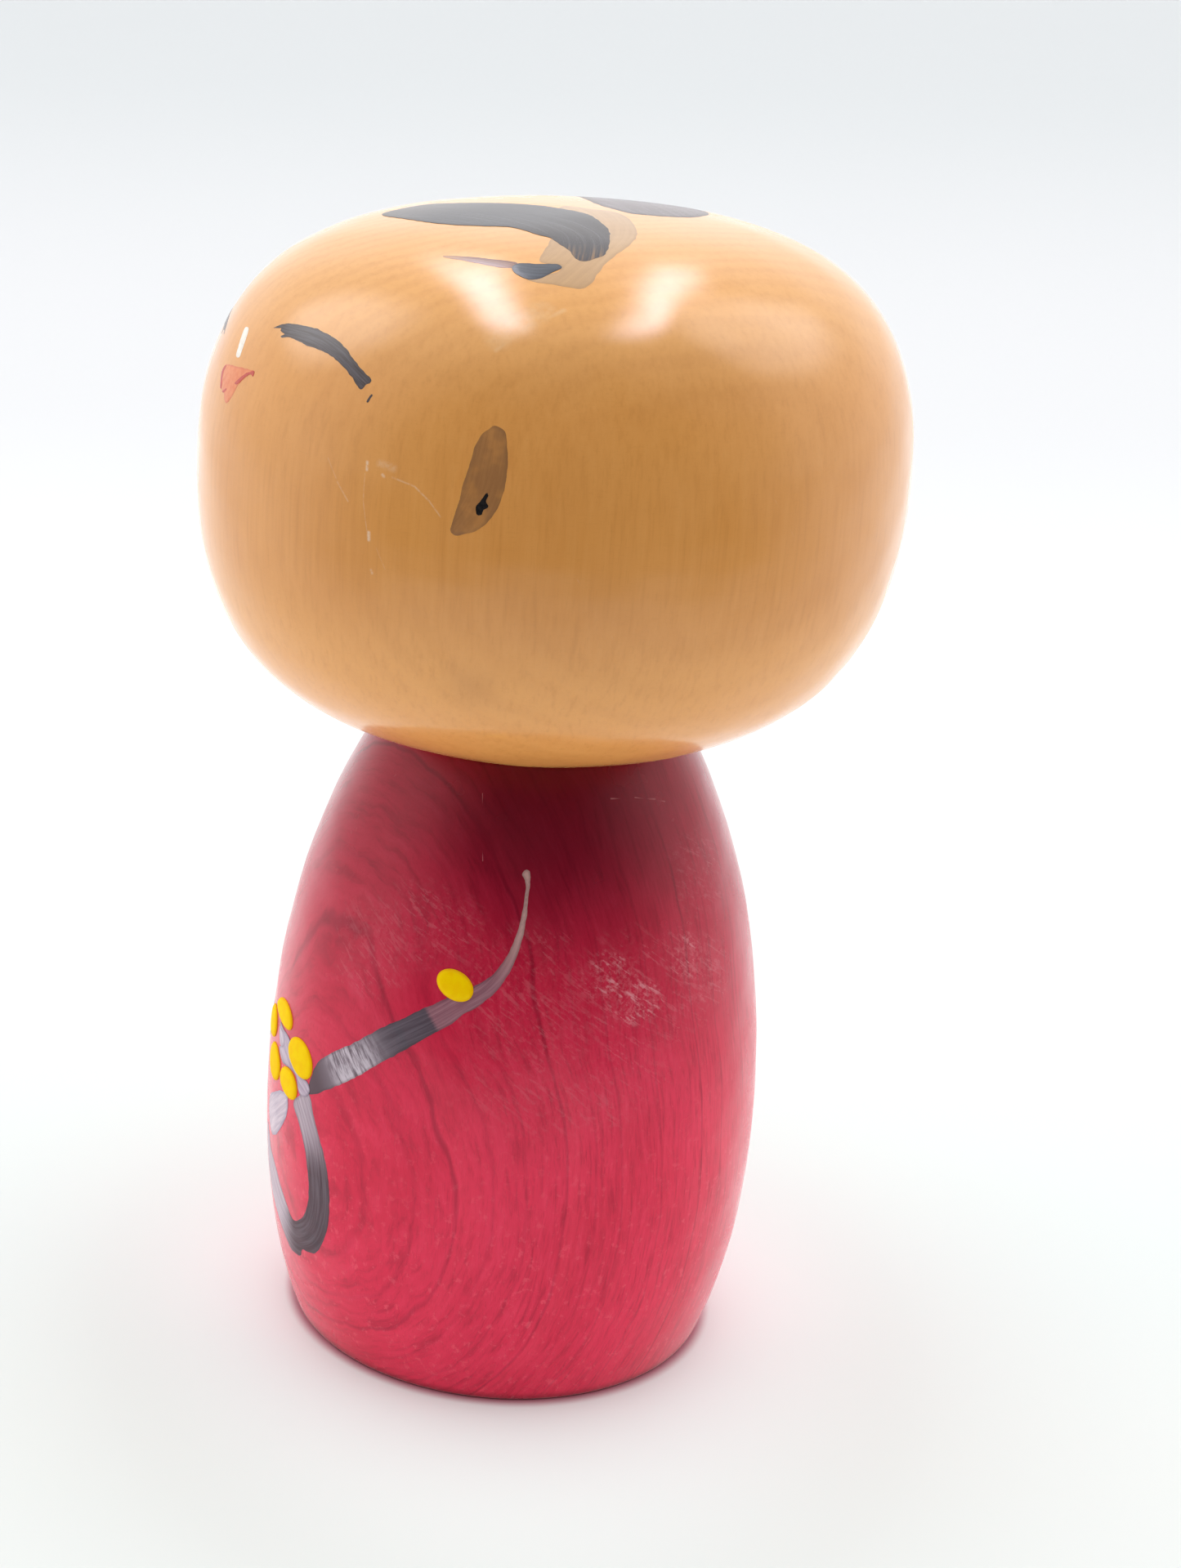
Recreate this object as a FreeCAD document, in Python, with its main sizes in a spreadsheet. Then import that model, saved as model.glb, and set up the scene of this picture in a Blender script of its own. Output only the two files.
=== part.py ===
import FreeCAD, Part
import math
import os
import Sketcher
from FreeCAD import Placement, Rotation, Vector

# A turned wooden kokeshi doll: a broad, bun-shaped head that turns on a peg
# above a barrel-shaped body, with brush-painted hair, face and flower motif.
# Frame: origin at the centre of the base on the ground, +Z up the turning
# axis, the face looks along -Y, the doll's own left side is +X. Millimetres.

doc = FreeCAD.newDocument("kokeshi_doll")

# ---------------------------------------------------------------- dimensions
# alias, value or formula over the rows above it, what it is
DIMENSIONS = [
    ("total_height", 151.2, "base to crown"),
    ("neck_height", 87.05, "top face of the body above the base"),
    ("seat_gap", 0.05, "running gap between the body's top face and the head"),
    ("head_diameter", 88.70, "scale of the head's radii, near its widest"),
    ("head_height", "=total_height - neck_height - seat_gap",
     "underside of the head to the crown"),
    ("underside_radius", 15.0, "flat turned land under the head"),
    ("body_diameter", 67.0, "scale of the body's radii, near its widest"),
    ("base_radius", 28.75, "foot circle before its edge is rounded"),
    ("base_edge", 0.9, "rounding of the foot edge"),
    ("shoulder_radius", 19.8, "top face of the body before its edge is rounded"),
    ("shoulder_edge", 1.0, "rounding of the shoulder edge"),
    ("peg_radius", 8.0, "neck dowel, glued in the body's bore"),
    ("peg_length", 38.0, "neck dowel"),
    ("peg_chamfer", 1.0, "both ends of the dowel"),
    ("bore_play", 0.05, "running fit of the head on the dowel"),
    ("head_bore_radius", "=peg_radius + bore_play", "blind bore in the head"),
    ("head_bore_depth", 20.0, "blind bore in the head"),
    ("body_bore_depth", 20.0, "blind bore in the body"),
    ("bore_lead", 0.8, "chamfer at each bore's mouth"),
    ("drill_tip", 2.4, "cone left by the drill"),
    ("peg_stand", 0.55, "dowel's lower end above the start of the drill's cone"),
    ("peg_foot", "=neck_height - body_bore_depth + peg_stand",
     "height of the dowel's lower end"),
    ("paint_gap", 0.02, "clearance under a layer of paint"),
    ("paint_film", 0.07, "one layer of brushed paint"),
    ("dot_height", 0.38, "raised enamel dots"),
]
sheet = doc.addObject("Spreadsheet::Sheet", "Params")
for row, (alias, content, note) in enumerate(DIMENSIONS, start=1):
    sheet.set("A%d" % row, alias)
    sheet.set("B%d" % row, str(content))
    sheet.set("C%d" % row, note)
    sheet.setAlias("B%d" % row, alias)
doc.recompute()
SIZE = {alias: float(sheet.get(alias)) for alias, _, _ in DIMENSIONS}

# ---------------------------------------------------------- turned outlines
# A length is a list of (alias, factor) terms to be summed; None stands for
# zero, on the turning axis or on the ground. A corner or a pole is a pair of
# lengths: radius, height.
CURVED_SIDE = 1     # the side leaving this corner of a turned outline is a spline

# Inner poles of the splines: radius / half the diameter, height / the piece's
# height above its underside.
HEAD_FORM = [
    (0.43436, -0.00075), (0.61667, 0.02963), (0.86730, 0.13750), (0.98630, 0.32293),
    (1.00652, 0.51884), (0.98383, 0.71576), (0.83229, 0.89249), (0.56467, 0.97580),
    (0.28381, 0.99699), (0.09414, 1.00031)]
BODY_FORM = [
    (0.94251, 0.08975), (1.01200, 0.25783), (0.99690, 0.51164), (0.88388, 0.76239),
    (0.71300, 0.91800)]

BODY_TOP = [("neck_height", 1.0)]
HEAD_UNDERSIDE = BODY_TOP + [("seat_gap", 1.0)]

HEAD_CORNERS = [
    (None, HEAD_UNDERSIDE),
    ([("underside_radius", 1.0)], HEAD_UNDERSIDE),
    (None, HEAD_UNDERSIDE + [("head_height", 1.0)]),
]
HEAD_POLES = [([("head_diameter", 0.5 * r)], HEAD_UNDERSIDE + [("head_height", z)])
              for r, z in HEAD_FORM]
BODY_CORNERS = [
    (None, None),
    ([("base_radius", 1.0)], None),
    ([("shoulder_radius", 1.0)], BODY_TOP),
    (None, BODY_TOP),
]
BODY_POLES = [([("body_diameter", 0.5 * r)], [("neck_height", z)])
              for r, z in BODY_FORM]


def length(terms):
    return 0.0 if terms is None else sum(SIZE[alias] * factor for alias, factor in terms)


def formula(terms):
    return " + ".join("Params.%s * %.6f" % term for term in terms)


def cubic(poles):
    """Clamped cubic spline with evenly spaced knots."""
    spans = len(poles) - 3
    knots = [i / float(spans) for i in range(spans + 1)]
    curve = Part.BSplineCurve()
    curve.buildFromPolesMultsKnots(
        poles, [4] + [1] * (spans - 1) + [4], knots, False, 3)
    return curve


# -------------------------------------------------------- sketches, features
def new_body(name):
    body = doc.addObject("PartDesign::Body", name)
    body.Label = name
    return body


def plane_sketch(body, name, role):
    plane = next(f for f in body.Origin.OriginFeatures if f.Role == role)
    sketch = body.newObject("Sketcher::SketchObject", name)
    sketch.AttachmentSupport = [(plane, "")]
    sketch.MapMode = "FlatFace"
    return sketch


def pin_point(sketch, geo, pos, place, tag):
    """Bind a point's radius and height to the sheet, or keep it on an axis."""
    for axis, axis_line, terms in (("X", -2, place[0]), ("Y", -1, place[1])):
        if terms is None:
            sketch.addConstraint(Sketcher.Constraint("PointOnObject", geo, pos, axis_line))
            continue
        index = sketch.addConstraint(Sketcher.Constraint(
            "Distance" + axis, -1, 1, geo, pos, length(terms)))
        name = "%s_%s" % (tag, axis.lower())
        sketch.renameConstraint(index, name)
        sketch.setExpression("Constraints." + name, formula(terms))


def draw_outline(sketch, corners, poles):
    """Closed loop of straight sides; poles, if any, bend the curved side."""
    points = [Vector(length(r), length(z), 0) for r, z in corners]
    count = len(points)
    for i, start in enumerate(points):
        end = points[(i + 1) % count]
        if poles and i == CURVED_SIDE:
            inner = [Vector(length(r), length(z), 0) for r, z in poles]
            sketch.addGeometry(cubic([start] + inner + [end]), False)
        else:
            sketch.addGeometry(Part.LineSegment(start, end), False)
    for i in range(count):
        sketch.addConstraint(Sketcher.Constraint("Coincident", i, 2, (i + 1) % count, 1))
    for i, corner in enumerate(corners):
        pin_point(sketch, i, 1, corner, "corner%d" % i)
    if poles:
        before = sketch.GeometryCount
        sketch.exposeInternalGeometry(CURVED_SIDE)
        circles = [i for i in range(before, sketch.GeometryCount)
                   if sketch.Geometry[i].TypeId == "Part::GeomCircle"]
        # the first and last poles sit on the corners, so only the inner ones are pinned
        for i, pole in enumerate(poles):
            pin_point(sketch, circles[i + 1], 3, pole, "pole%d" % i)


def turn(body, sketch_name, name, corners, poles=None, kind="Revolution"):
    """Revolve an outline about the turning axis, as wood or as a cut (Groove)."""
    sketch = plane_sketch(body, sketch_name, "XZ_Plane")
    draw_outline(sketch, corners, poles)
    doc.recompute()
    feature = body.newObject("PartDesign::" + kind, name)
    feature.Profile = sketch
    feature.ReferenceAxis = (sketch, ["V_Axis"])
    feature.Angle = 360.0
    doc.recompute()
    return feature


def cut_bore(body, name, radius, depth, mouth, way):
    """Blind bore with a lead-in chamfer and the drill's cone; way +1 up, -1 down."""
    solid_before = body.Shape.Volume
    turn(body, name + "_outline", name, [
        (None, mouth),
        ([(radius, 1.0), ("bore_lead", 1.0)], mouth),
        ([(radius, 1.0)], mouth + [("bore_lead", way)]),
        ([(radius, 1.0)], mouth + [(depth, way)]),
        (None, mouth + [(depth, way), ("drill_tip", way)]),
    ], kind="Groove")
    bore_volume = math.pi * SIZE[radius] ** 2 * SIZE[depth]
    if solid_before - body.Shape.Volume < 0.95 * bore_volume:
        raise RuntimeError(name + " cut nothing")


def edges_at(feature, height, radius, tolerance=0.02):
    """Names of the circular edges of that radius at that height."""
    names = []
    for i, edge in enumerate(feature.Shape.Edges, start=1):
        box = edge.BoundBox
        misses = (box.ZMin - height, box.ZMax - height, box.XMax - radius)
        if all(abs(miss) < tolerance for miss in misses):
            names.append("Edge%d" % i)
    if not names:
        raise RuntimeError("no edge at %.2f, radius %.2f" % (height, radius))
    return names


def ease_edges(body, kind, name, base, edges, alias):
    """Fillet or Chamfer whose size is bound to the sheet."""
    feature = body.newObject("PartDesign::" + kind, name)
    feature.Base = (base, edges)
    size_property = "Radius" if kind == "Fillet" else "Size"
    setattr(feature, size_property, SIZE[alias])
    feature.setExpression(size_property, "Params." + alias)
    doc.recompute()
    return feature


# -------------------------------------------------------------- wooden parts
def make_head():
    """Flat land underneath, a full round side, a low crown."""
    head = new_body("head")
    turn(head, "head_outline", "head_turning", HEAD_CORNERS, HEAD_POLES)
    cut_bore(head, "head_bore", "head_bore_radius", "head_bore_depth",
             HEAD_UNDERSIDE, 1.0)
    return head


def make_body():
    """A barrel on a flat foot; its flat top face is the head's seat."""
    body = new_body("body")
    turning = turn(body, "body_outline", "body_turning", BODY_CORNERS, BODY_POLES)
    foot = ease_edges(body, "Fillet", "foot_edge", turning,
                      edges_at(turning, 0.0, SIZE["base_radius"]), "base_edge")
    ease_edges(body, "Fillet", "shoulder_round", foot,
               edges_at(foot, SIZE["neck_height"], SIZE["shoulder_radius"]),
               "shoulder_edge")
    cut_bore(body, "body_bore", "peg_radius", "body_bore_depth", BODY_TOP, -1.0)
    return body


def make_dowel():
    """A hardwood peg; the head turns on its upper end."""
    dowel = new_body("neck_dowel")
    radius = SIZE["peg_radius"]
    sketch = plane_sketch(dowel, "dowel_circle", "XY_Plane")
    circle = sketch.addGeometry(
        Part.Circle(Vector(0, 0, 0), Vector(0, 0, 1), radius), False)
    sketch.addConstraint(Sketcher.Constraint("Coincident", circle, 3, -1, 1))
    index = sketch.addConstraint(Sketcher.Constraint("Radius", circle, radius))
    sketch.renameConstraint(index, "peg")
    sketch.setExpression("Constraints.peg", "Params.peg_radius")
    pad = dowel.newObject("PartDesign::Pad", "dowel_length")
    pad.Profile = sketch
    pad.Length = SIZE["peg_length"]
    pad.setExpression("Length", "Params.peg_length")
    doc.recompute()
    ends = edges_at(pad, 0.0, radius) + edges_at(pad, SIZE["peg_length"], radius)
    ease_edges(dowel, "Chamfer", "dowel_ends", pad, ends, "peg_chamfer")
    dowel.Placement = Placement(Vector(0, 0, SIZE["peg_foot"]), Rotation())
    dowel.setExpression("Placement.Base.z", "Params.peg_foot")
    doc.recompute()
    return dowel


wooden_parts = [make_head(), make_body(), make_dowel()]


# --------------------------------------------------------------- paint skins
# Paint is a thin skin that follows the turned surface. A skin is the band
# between two curves offset from the wood's outline, turned about the axis.
def sample_outline(corners, poles, count):
    """(point, outward normal) pairs along the curved side, in the XZ plane."""
    ends = corners[CURVED_SIDE:CURVED_SIDE + 2]
    curve = cubic([Vector(length(r), 0.0, length(z))
                   for r, z in [ends[0]] + poles + [ends[1]]])
    samples = []
    for i in range(count + 1):
        share = i / float(count)
        along = curve.tangent(share)[0]
        samples.append((curve.value(share), Vector(along.z, 0, -along.x)))
    return samples


def make_skin(name, samples, low, high):
    """Solid of revolution between two offsets of an outline."""
    curves, runs = [], []
    for offset in (low, high):
        points = [point + normal * offset for point, normal in samples]
        curve = Part.BSplineCurve()
        curve.interpolate(points)
        curves.append(curve.toShape())
        runs.append(points)
    inner, outer = runs
    wire = Part.Wire([curves[0], Part.makeLine(inner[-1], outer[-1]),
                      curves[1], Part.makeLine(outer[0], inner[0])])
    skin = doc.addObject("Part::Feature", name)
    skin.Shape = Part.Face(wire).revolve(Vector(0, 0, 0), Vector(0, 0, 1), 360)
    return skin


HEAD_LINE = sample_outline(HEAD_CORNERS, HEAD_POLES, 400)
BODY_LINE = sample_outline(BODY_CORNERS, BODY_POLES, 200)

gap, film = SIZE["paint_gap"], SIZE["paint_film"]
second_base = 2 * gap + film
FIRST_COAT = (gap, gap + film)
SECOND_COAT = (second_base, second_base + film)
RAISED_COAT = (second_base, second_base + SIZE["dot_height"])

# zone: outline, least radius, lowest and highest point, offsets of layers 1 and 2.
# The crown starts just off the axis, so that no face meets itself.
ZONES = {
    "crown": (HEAD_LINE, 0.02, 140.0, 999.0, FIRST_COAT, SECOND_COAT),
    "flank": (HEAD_LINE, 30.0, 115.0, 146.0, FIRST_COAT, SECOND_COAT),
    "barrel": (BODY_LINE, 0.0, 8.0, 80.0, FIRST_COAT, RAISED_COAT),
}
SKINS = {}
for zone, (line, r_min, z_min, z_max, *coats) in ZONES.items():
    samples = [s for s in line if s[0].x >= r_min and z_min <= s[0].z <= z_max]
    for layer, (word, coat) in enumerate(zip(("one", "two"), coats), start=1):
        SKINS[zone, layer] = make_skin("%s_skin_%s" % (zone, word), samples, *coat)

# --------------------------------------------------------------- brush marks
# outlines on which the marks' (azimuth, height) points are placed
SIDE_LINES = {
    "flank": [s for s in HEAD_LINE if 112.0 < s[0].z < 150.0],
    "barrel": BODY_LINE,
}
CROWN_PRISM_FOOT = 141.0    # height of the crown marks' sketches
CROWN_PRISM_LENGTH = 14.0
PRISM_DEEP = 9.0            # a side mark's prism starts this far below the surface
PRISM_SHALLOW = 4.0         # the same for the small marks on the barrel
PRISM_PROUD = 4.0           # and ends this far above it
EASE_STEPS = 3              # straight runs between two points of an eased outline


def on_side(line, azimuth, z):
    """Point of the turned surface and its normal; azimuth in degrees from +X."""
    upper = next(i for i in range(1, len(line))
                 if (line[i - 1][0].z - z) * (line[i][0].z - z) <= 0)
    below, (above, normal) = line[upper - 1][0], line[upper]
    radius = below.x + (above.x - below.x) * (z - below.z) / (above.z - below.z)
    angle = math.radians(azimuth)
    cos, sin = math.cos(angle), math.sin(angle)
    return (Vector(radius * cos, radius * sin, z),
            Vector(normal.x * cos, normal.x * sin, normal.z))


def blend(start, end, t_start, t_end, t):
    span = t_end - t_start
    return start * ((t_end - t) / span) + end * ((t - t_start) / span)


def rounded(points):
    """Closed outline eased through its points with short straight runs."""
    eased, count = [], len(points)
    for i in range(count):
        near = [points[(i + k) % count] for k in (-1, 0, 1, 2)]
        # centripetal spacing keeps the curve from looping at sharp tips
        knots = [0.0]
        for k in range(3):
            knots.append(knots[k] + max((near[k + 1] - near[k]).Length, 1e-6) ** 0.5)
        for step in range(EASE_STEPS):
            t = knots[1] + (knots[2] - knots[1]) * step / float(EASE_STEPS)
            first = [blend(near[k], near[k + 1], knots[k], knots[k + 1], t)
                     for k in range(3)]
            second = [blend(first[k], first[k + 1], knots[k], knots[k + 2], t)
                      for k in range(2)]
            eased.append(blend(second[0], second[1], knots[1], knots[2], t))
    return eased


def side_frame(line, outline, deep):
    """Sketch placement square to the surface at the mark's middle, and its points."""
    azimuths = [azimuth for azimuth, _ in outline]
    heights = [z for _, z in outline]
    middle, normal = on_side(line, 0.5 * (min(azimuths) + max(azimuths)),
                             0.5 * (min(heights) + max(heights)))
    across = Vector(0, 0, 1).cross(normal).normalize()
    place = Placement(middle - normal * deep,
                      Rotation(across, normal.cross(across), normal, "ZXY"))
    to_sketch = place.inverse()
    points = []
    for azimuth, z in outline:
        local = to_sketch.multVec(on_side(line, azimuth, z)[0])
        points.append(Vector(local.x, local.y, 0))
    return place, points


def make_prism(label, index, place, points, height):
    sketch = doc.addObject("Sketcher::SketchObject", "%s_line%d" % (label, index))
    sketch.Placement = place
    count = len(points)
    for i in range(count):
        sketch.addGeometry(Part.LineSegment(points[i], points[(i + 1) % count]), False)
    for i in range(count):
        sketch.addConstraint(Sketcher.Constraint("Coincident", i, 2, (i + 1) % count, 1))
    prism = doc.addObject("Part::Extrusion", "%s_prism%d" % (label, index))
    prism.Base = sketch
    prism.DirMode = "Normal"
    prism.LengthFwd = height
    prism.Solid = True
    return prism


def paint(label, zone, layer, outlines, smooth=True, deep=PRISM_DEEP):
    """One painted mark: where the prisms through its outlines meet the skin.

    An outline is (x, y) on the crown, (azimuth in degrees, height) elsewhere.
    """
    prisms = []
    for index, outline in enumerate(outlines):
        if zone == "crown":
            points = [Vector(x, y, 0) for x, y in outline]
            place = Placement(Vector(0, 0, CROWN_PRISM_FOOT), Rotation())
            height = CROWN_PRISM_LENGTH
        else:
            place, points = side_frame(SIDE_LINES[zone], outline, deep)
            height = deep + PRISM_PROUD
        if smooth:
            points = rounded(points)
        prisms.append(make_prism(label, index, place, points, height))
    tool = prisms[0]
    if len(prisms) > 1:
        tool = doc.addObject("Part::Compound", label + "_prisms")
        tool.Links = prisms
    mark = doc.addObject("Part::Common", label)
    mark.Base = SKINS[zone, layer]
    mark.Tool = tool
    mark.Label = label
    return mark


# --------------------------------------------------------------------- face
# (azimuth, height). Closed eyes as single arched strokes, a line for the
# nose, a triangular mouth with two small accents, ears with a spot each.
FACE_AZIMUTH = -91.0    # the face is mirrored about this azimuth

EYE = [
    (-82.3, 139.7), (-80.7, 140.1), (-76.2, 140.8), (-72.0, 140.9), (-68.6, 140.8),
    (-65.2, 140.4), (-62.4, 139.9), (-59.9, 139.2), (-57.8, 138.4), (-55.2, 137.3),
    (-54.9, 136.8), (-56.4, 136.1), (-57.5, 136.4), (-59.7, 137.3), (-62.4, 138.1),
    (-65.4, 138.6), (-68.5, 138.9), (-73.4, 139.4), (-78.6, 139.25)]
NOSE = [
    (-93.1, 138.5), (-92.2, 138.9), (-91.2, 138.6), (-89.9, 137.3), (-88.5, 135.9),
    (-88.7, 135.4), (-89.9, 135.3), (-90.9, 136.1), (-92.3, 137.7)]
MOUTH = [
    (-93.6, 134.0), (-83.3, 135.0), (-82.0, 134.9), (-84.9, 133.1), (-88.1, 130.3),
    (-90.6, 131.3), (-92.7, 131.7), (-93.7, 132.9)]
LIP_LEFT = [
    (-86.8, 132.9), (-85.5, 133.9), (-83.9, 134.6), (-82.6, 135.1), (-81.8, 134.9),
    (-81.9, 134.3), (-83.2, 134.1), (-84.6, 133.5), (-86.0, 132.6)]
LIP_RIGHT = [
    (-93.4, 133.9), (-92.9, 133.9), (-92.9, 133.0), (-92.4, 132.2), (-92.6, 131.7),
    (-93.2, 132.0), (-93.7, 132.9)]
EAR = [
    (-33.6, 134.1), (-32.2, 133.8), (-31.6, 132.8), (-31.2, 131.0), (-31.1, 129.0),
    (-31.4, 127.2), (-32.0, 125.5), (-33.3, 124.0), (-34.5, 123.0), (-36.4, 122.3),
    (-37.6, 122.0), (-38.5, 122.3), (-38.3, 124.0), (-37.8, 125.7), (-37.2, 128.0),
    (-36.5, 130.3), (-36.0, 132.1), (-35.0, 133.4)]
EAR_SPOT = [
    (-34.9, 126.0), (-34.3, 126.4), (-33.7, 126.6), (-33.6, 125.8), (-33.8, 125.2),
    (-34.4, 124.7), (-34.8, 124.9), (-35.1, 125.4)]


def mirror(outline, shift=0.0, lower=0.0):
    """The outline on the other side of the face, turned by shift and lowered."""
    return [(2 * FACE_AZIMUTH - azimuth + shift, z - lower)
            for azimuth, z in reversed(outline)]


def paint_face():
    return [
        paint("eye_left", "flank", 1, [EYE]),
        paint("eye_right", "flank", 1, [mirror(EYE, shift=-4.0, lower=2.0)]),
        paint("nose_line", "flank", 1, [NOSE]),
        paint("mouth", "flank", 1, [MOUTH], smooth=False),
        paint("lip_lines", "flank", 2, [LIP_LEFT, LIP_RIGHT]),
        paint("ear_left", "flank", 1, [EAR]),
        paint("ear_right", "flank", 1, [mirror(EAR)]),
        paint("ear_spots", "flank", 2, [EAR_SPOT, mirror(EAR_SPOT)]),
    ]


# --------------------------------------------------------------------- hair
# (x, y). A broad stroke across the crown, the wash round its left end, a
# small lock with a thin tail, and a second broad stroke at the back.
FRINGE = [
    (-12.6, -18.2), (-11.2, -16.0), (-11.0, -12.1), (-10.0, -8.0), (-5.84, -5.02),
    (-2.46, -2.34), (0.78, -0.39), (4.87, 0.52), (10.13, 0.11), (16.02, -1.78),
    (19.67, -3.77), (21.7, -5.8), (22.3, -8.0), (20.9, -8.75), (18.86, -8.5),
    (15.32, -8.57), (13.62, -9.42), (10.77, -9.83), (8.1, -11.01), (5.87, -13.38),
    (3.68, -15.79), (0.32, -17.65), (-5.41, -18.9), (-10.2, -19.3)]
WASH = [
    (-3.06, 1.35), (-0.43, 2.97), (3.5, 4.4), (9.0, 3.9), (14.97, 2.23),
    (19.99, -1.9), (24.18, -6.2), (27.2, -9.4), (27.7, -11.2), (26.85, -12.6),
    (24.95, -14.69), (23.6, -15.0), (23.07, -10.9), (20.4, -12.2), (18.98, -11.48),
    (15.24, -8.78), (10.0, -6.5), (2.0, -2.5)]
LOCK = [
    (21.23, -16.0), (20.9, -14.6), (22.5, -11.5), (23.8, -11.2), (24.33, -12.46),
    (24.48, -14.4), (23.5, -15.6)]
TAIL = [
    (13.74, -21.54), (16.66, -19.1), (20.3, -15.8), (20.8, -16.6), (19.99, -17.88),
    (17.05, -19.95), (14.06, -21.8)]
BACK_HAIR = [
    (4.95, 10.8), (3.9, 7.9), (1.0, 6.3), (-5.7, 6.6), (-14.0, 8.2), (-21.0, 10.8),
    (-26.0, 14.2), (-28.0, 17.0), (-25.0, 18.4), (-18.0, 20.3), (-9.0, 21.2),
    (-2.0, 19.6), (3.0, 15.6)]


def paint_hair():
    return [
        paint("hair_fringe", "crown", 2, [FRINGE]),
        paint("hair_wash", "crown", 1, [WASH]),
        paint("hair_lock", "crown", 2, [LOCK]),
        paint("hair_lock_tail", "crown", 1, [TAIL]),
        paint("hair_back", "crown", 1, [BACK_HAIR]),
    ]


# --------------------------------------------------------------- body motif
# (azimuth, height). A five-dot blossom at the front over a wash, a long
# tapering ink stroke to the doll's left with one bud on it, a drooping loop,
# two white petals, and a shorter stroke with a bud to the doll's right.
LEFT_STROKE = [
    (-76.6, 40.2), (-75.6, 44.0), (-73.0, 46.2), (-61.3, 50.9), (-52.1, 55.2),
    (-43.2, 58.4), (-35.6, 60.8), (-30.4, 63.2), (-27.4, 65.9), (-25.5, 69.1),
    (-24.6, 72.4), (-24.7, 75.0), (-23.5, 75.2), (-23.0, 72.4), (-23.6, 68.6),
    (-25.5, 64.6), (-28.4, 61.3), (-34.6, 58.1), (-40.2, 55.7), (-44.8, 53.1),
    (-54.0, 48.4), (-66.6, 43.4)]
RIGHT_STROKE = [
    (-108.6, 40.2), (-109.0, 44.0), (-118.0, 43.4), (-130.0, 39.9), (-142.0, 34.2),
    (-153.0, 27.0), (-159.5, 21.6), (-160.2, 20.2), (-158.5, 20.4), (-150.0, 24.6),
    (-139.0, 30.0), (-128.0, 34.6), (-117.0, 38.0)]
LOOP = [
    (-80.0, 38.9), (-76.0, 38.4), (-72.0, 35.7), (-68.7, 31.6), (-67.5, 26.8),
    (-68.0, 22.2), (-70.6, 18.2), (-74.6, 15.5), (-80.0, 13.9), (-85.2, 13.5),
    (-91.2, 14.7), (-97.2, 17.1), (-102.2, 20.4), (-104.6, 24.6), (-104.8, 28.2),
    (-102.6, 28.6), (-101.2, 26.4), (-97.4, 24.4), (-90.6, 21.9), (-86.0, 19.9),
    (-82.0, 18.9), (-78.4, 20.2), (-75.8, 23.6), (-75.4, 27.7), (-76.7, 31.5),
    (-79.6, 34.3), (-83.4, 36.4), (-83.2, 37.6)]
LOWER_PETAL = [
    (-103.2, 32.4), (-97.5, 34.6), (-91.0, 35.5), (-87.0, 34.6), (-86.4, 32.5),
    (-89.3, 30.1), (-95.2, 29.1), (-100.4, 29.7)]
UPPER_PETAL = [
    (-96.6, 44.2), (-94.4, 45.1), (-91.9, 45.0), (-91.1, 43.9), (-92.3, 42.9),
    (-94.8, 42.9)]
BLOSSOM_WASH = [
    (-97.0, 42.2), (-93.0, 42.3), (-90.0, 43.2), (-88.8, 45.0), (-86.6, 44.6),
    (-85.9, 42.4), (-81.6, 41.4), (-78.0, 40.4), (-79.0, 39.3), (-84.0, 38.2),
    (-88.5, 39.6), (-93.0, 40.8)]
# azimuth, height, half width, half height, tilt in degrees
DOTS = [
    (-94.0, 47.2, 2.9, 2.2, -12.0), (-82.0, 43.7, 2.9, 2.65, 0.0),
    (-86.6, 38.7, 2.5, 2.25, 0.0), (-97.3, 38.9, 2.75, 2.5, 0.0),
    (-103.2, 43.7, 2.7, 2.1, 8.0),
    (-39.2, 61.0, 2.15, 1.85, 20.0),        # bud on the left stroke
    (-131.0, 42.6, 2.15, 1.85, -20.0),      # bud by the right stroke
]
DOT_POINTS = 14
DOT_RADIUS = 33.0       # barrel radius that turns a dot's width into degrees


def oval(azimuth, z, half_width, half_height, tilt):
    """Tilted oval outline in (azimuth, height)."""
    cos, sin = math.cos(math.radians(tilt)), math.sin(math.radians(tilt))
    points = []
    for i in range(DOT_POINTS):
        angle = 2 * math.pi * i / DOT_POINTS
        across, up = half_width * math.cos(angle), half_height * math.sin(angle)
        points.append((azimuth + math.degrees((across * cos - up * sin) / DOT_RADIUS),
                       z + across * sin + up * cos))
    return points


def paint_motif():
    return [
        paint("ink_stroke_left", "barrel", 1, [LEFT_STROKE]),
        paint("ink_stroke_right", "barrel", 1, [RIGHT_STROKE]),
        paint("ink_loop", "barrel", 1, [LOOP]),
        paint("white_petals", "barrel", 1, [LOWER_PETAL, UPPER_PETAL],
              deep=PRISM_SHALLOW),
        paint("blossom_wash", "barrel", 1, [BLOSSOM_WASH], deep=PRISM_SHALLOW),
        paint("blossom_dots", "barrel", 2, [oval(*dot) for dot in DOTS],
              deep=PRISM_SHALLOW),
    ]


films = paint_face() + paint_hair() + paint_motif()
doc.recompute()

# --------------------------------------------------------- checks and export
faults = ["%s: %s" % (obj.Name, obj.State) for obj in doc.Objects
          if any(word in obj.State for word in ("Invalid", "Error"))]
for piece in wooden_parts + films:
    shape = piece.Shape
    if shape.isNull() or not shape.isValid() or not shape.Solids:
        faults.append(piece.Label + " has no valid solid")
for mark in films:
    # a film's volume must be about half its area times its thickness
    thickness = SIZE["dot_height" if mark.Label == "blossom_dots" else "paint_film"]
    ratio = mark.Shape.Volume / (0.5 * mark.Shape.Area * thickness)
    if not 0.6 < ratio < 1.05:
        faults.append("%s is not a clean film (%.2f)" % (mark.Label, ratio))
if faults:
    raise RuntimeError("; ".join(faults))

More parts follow.
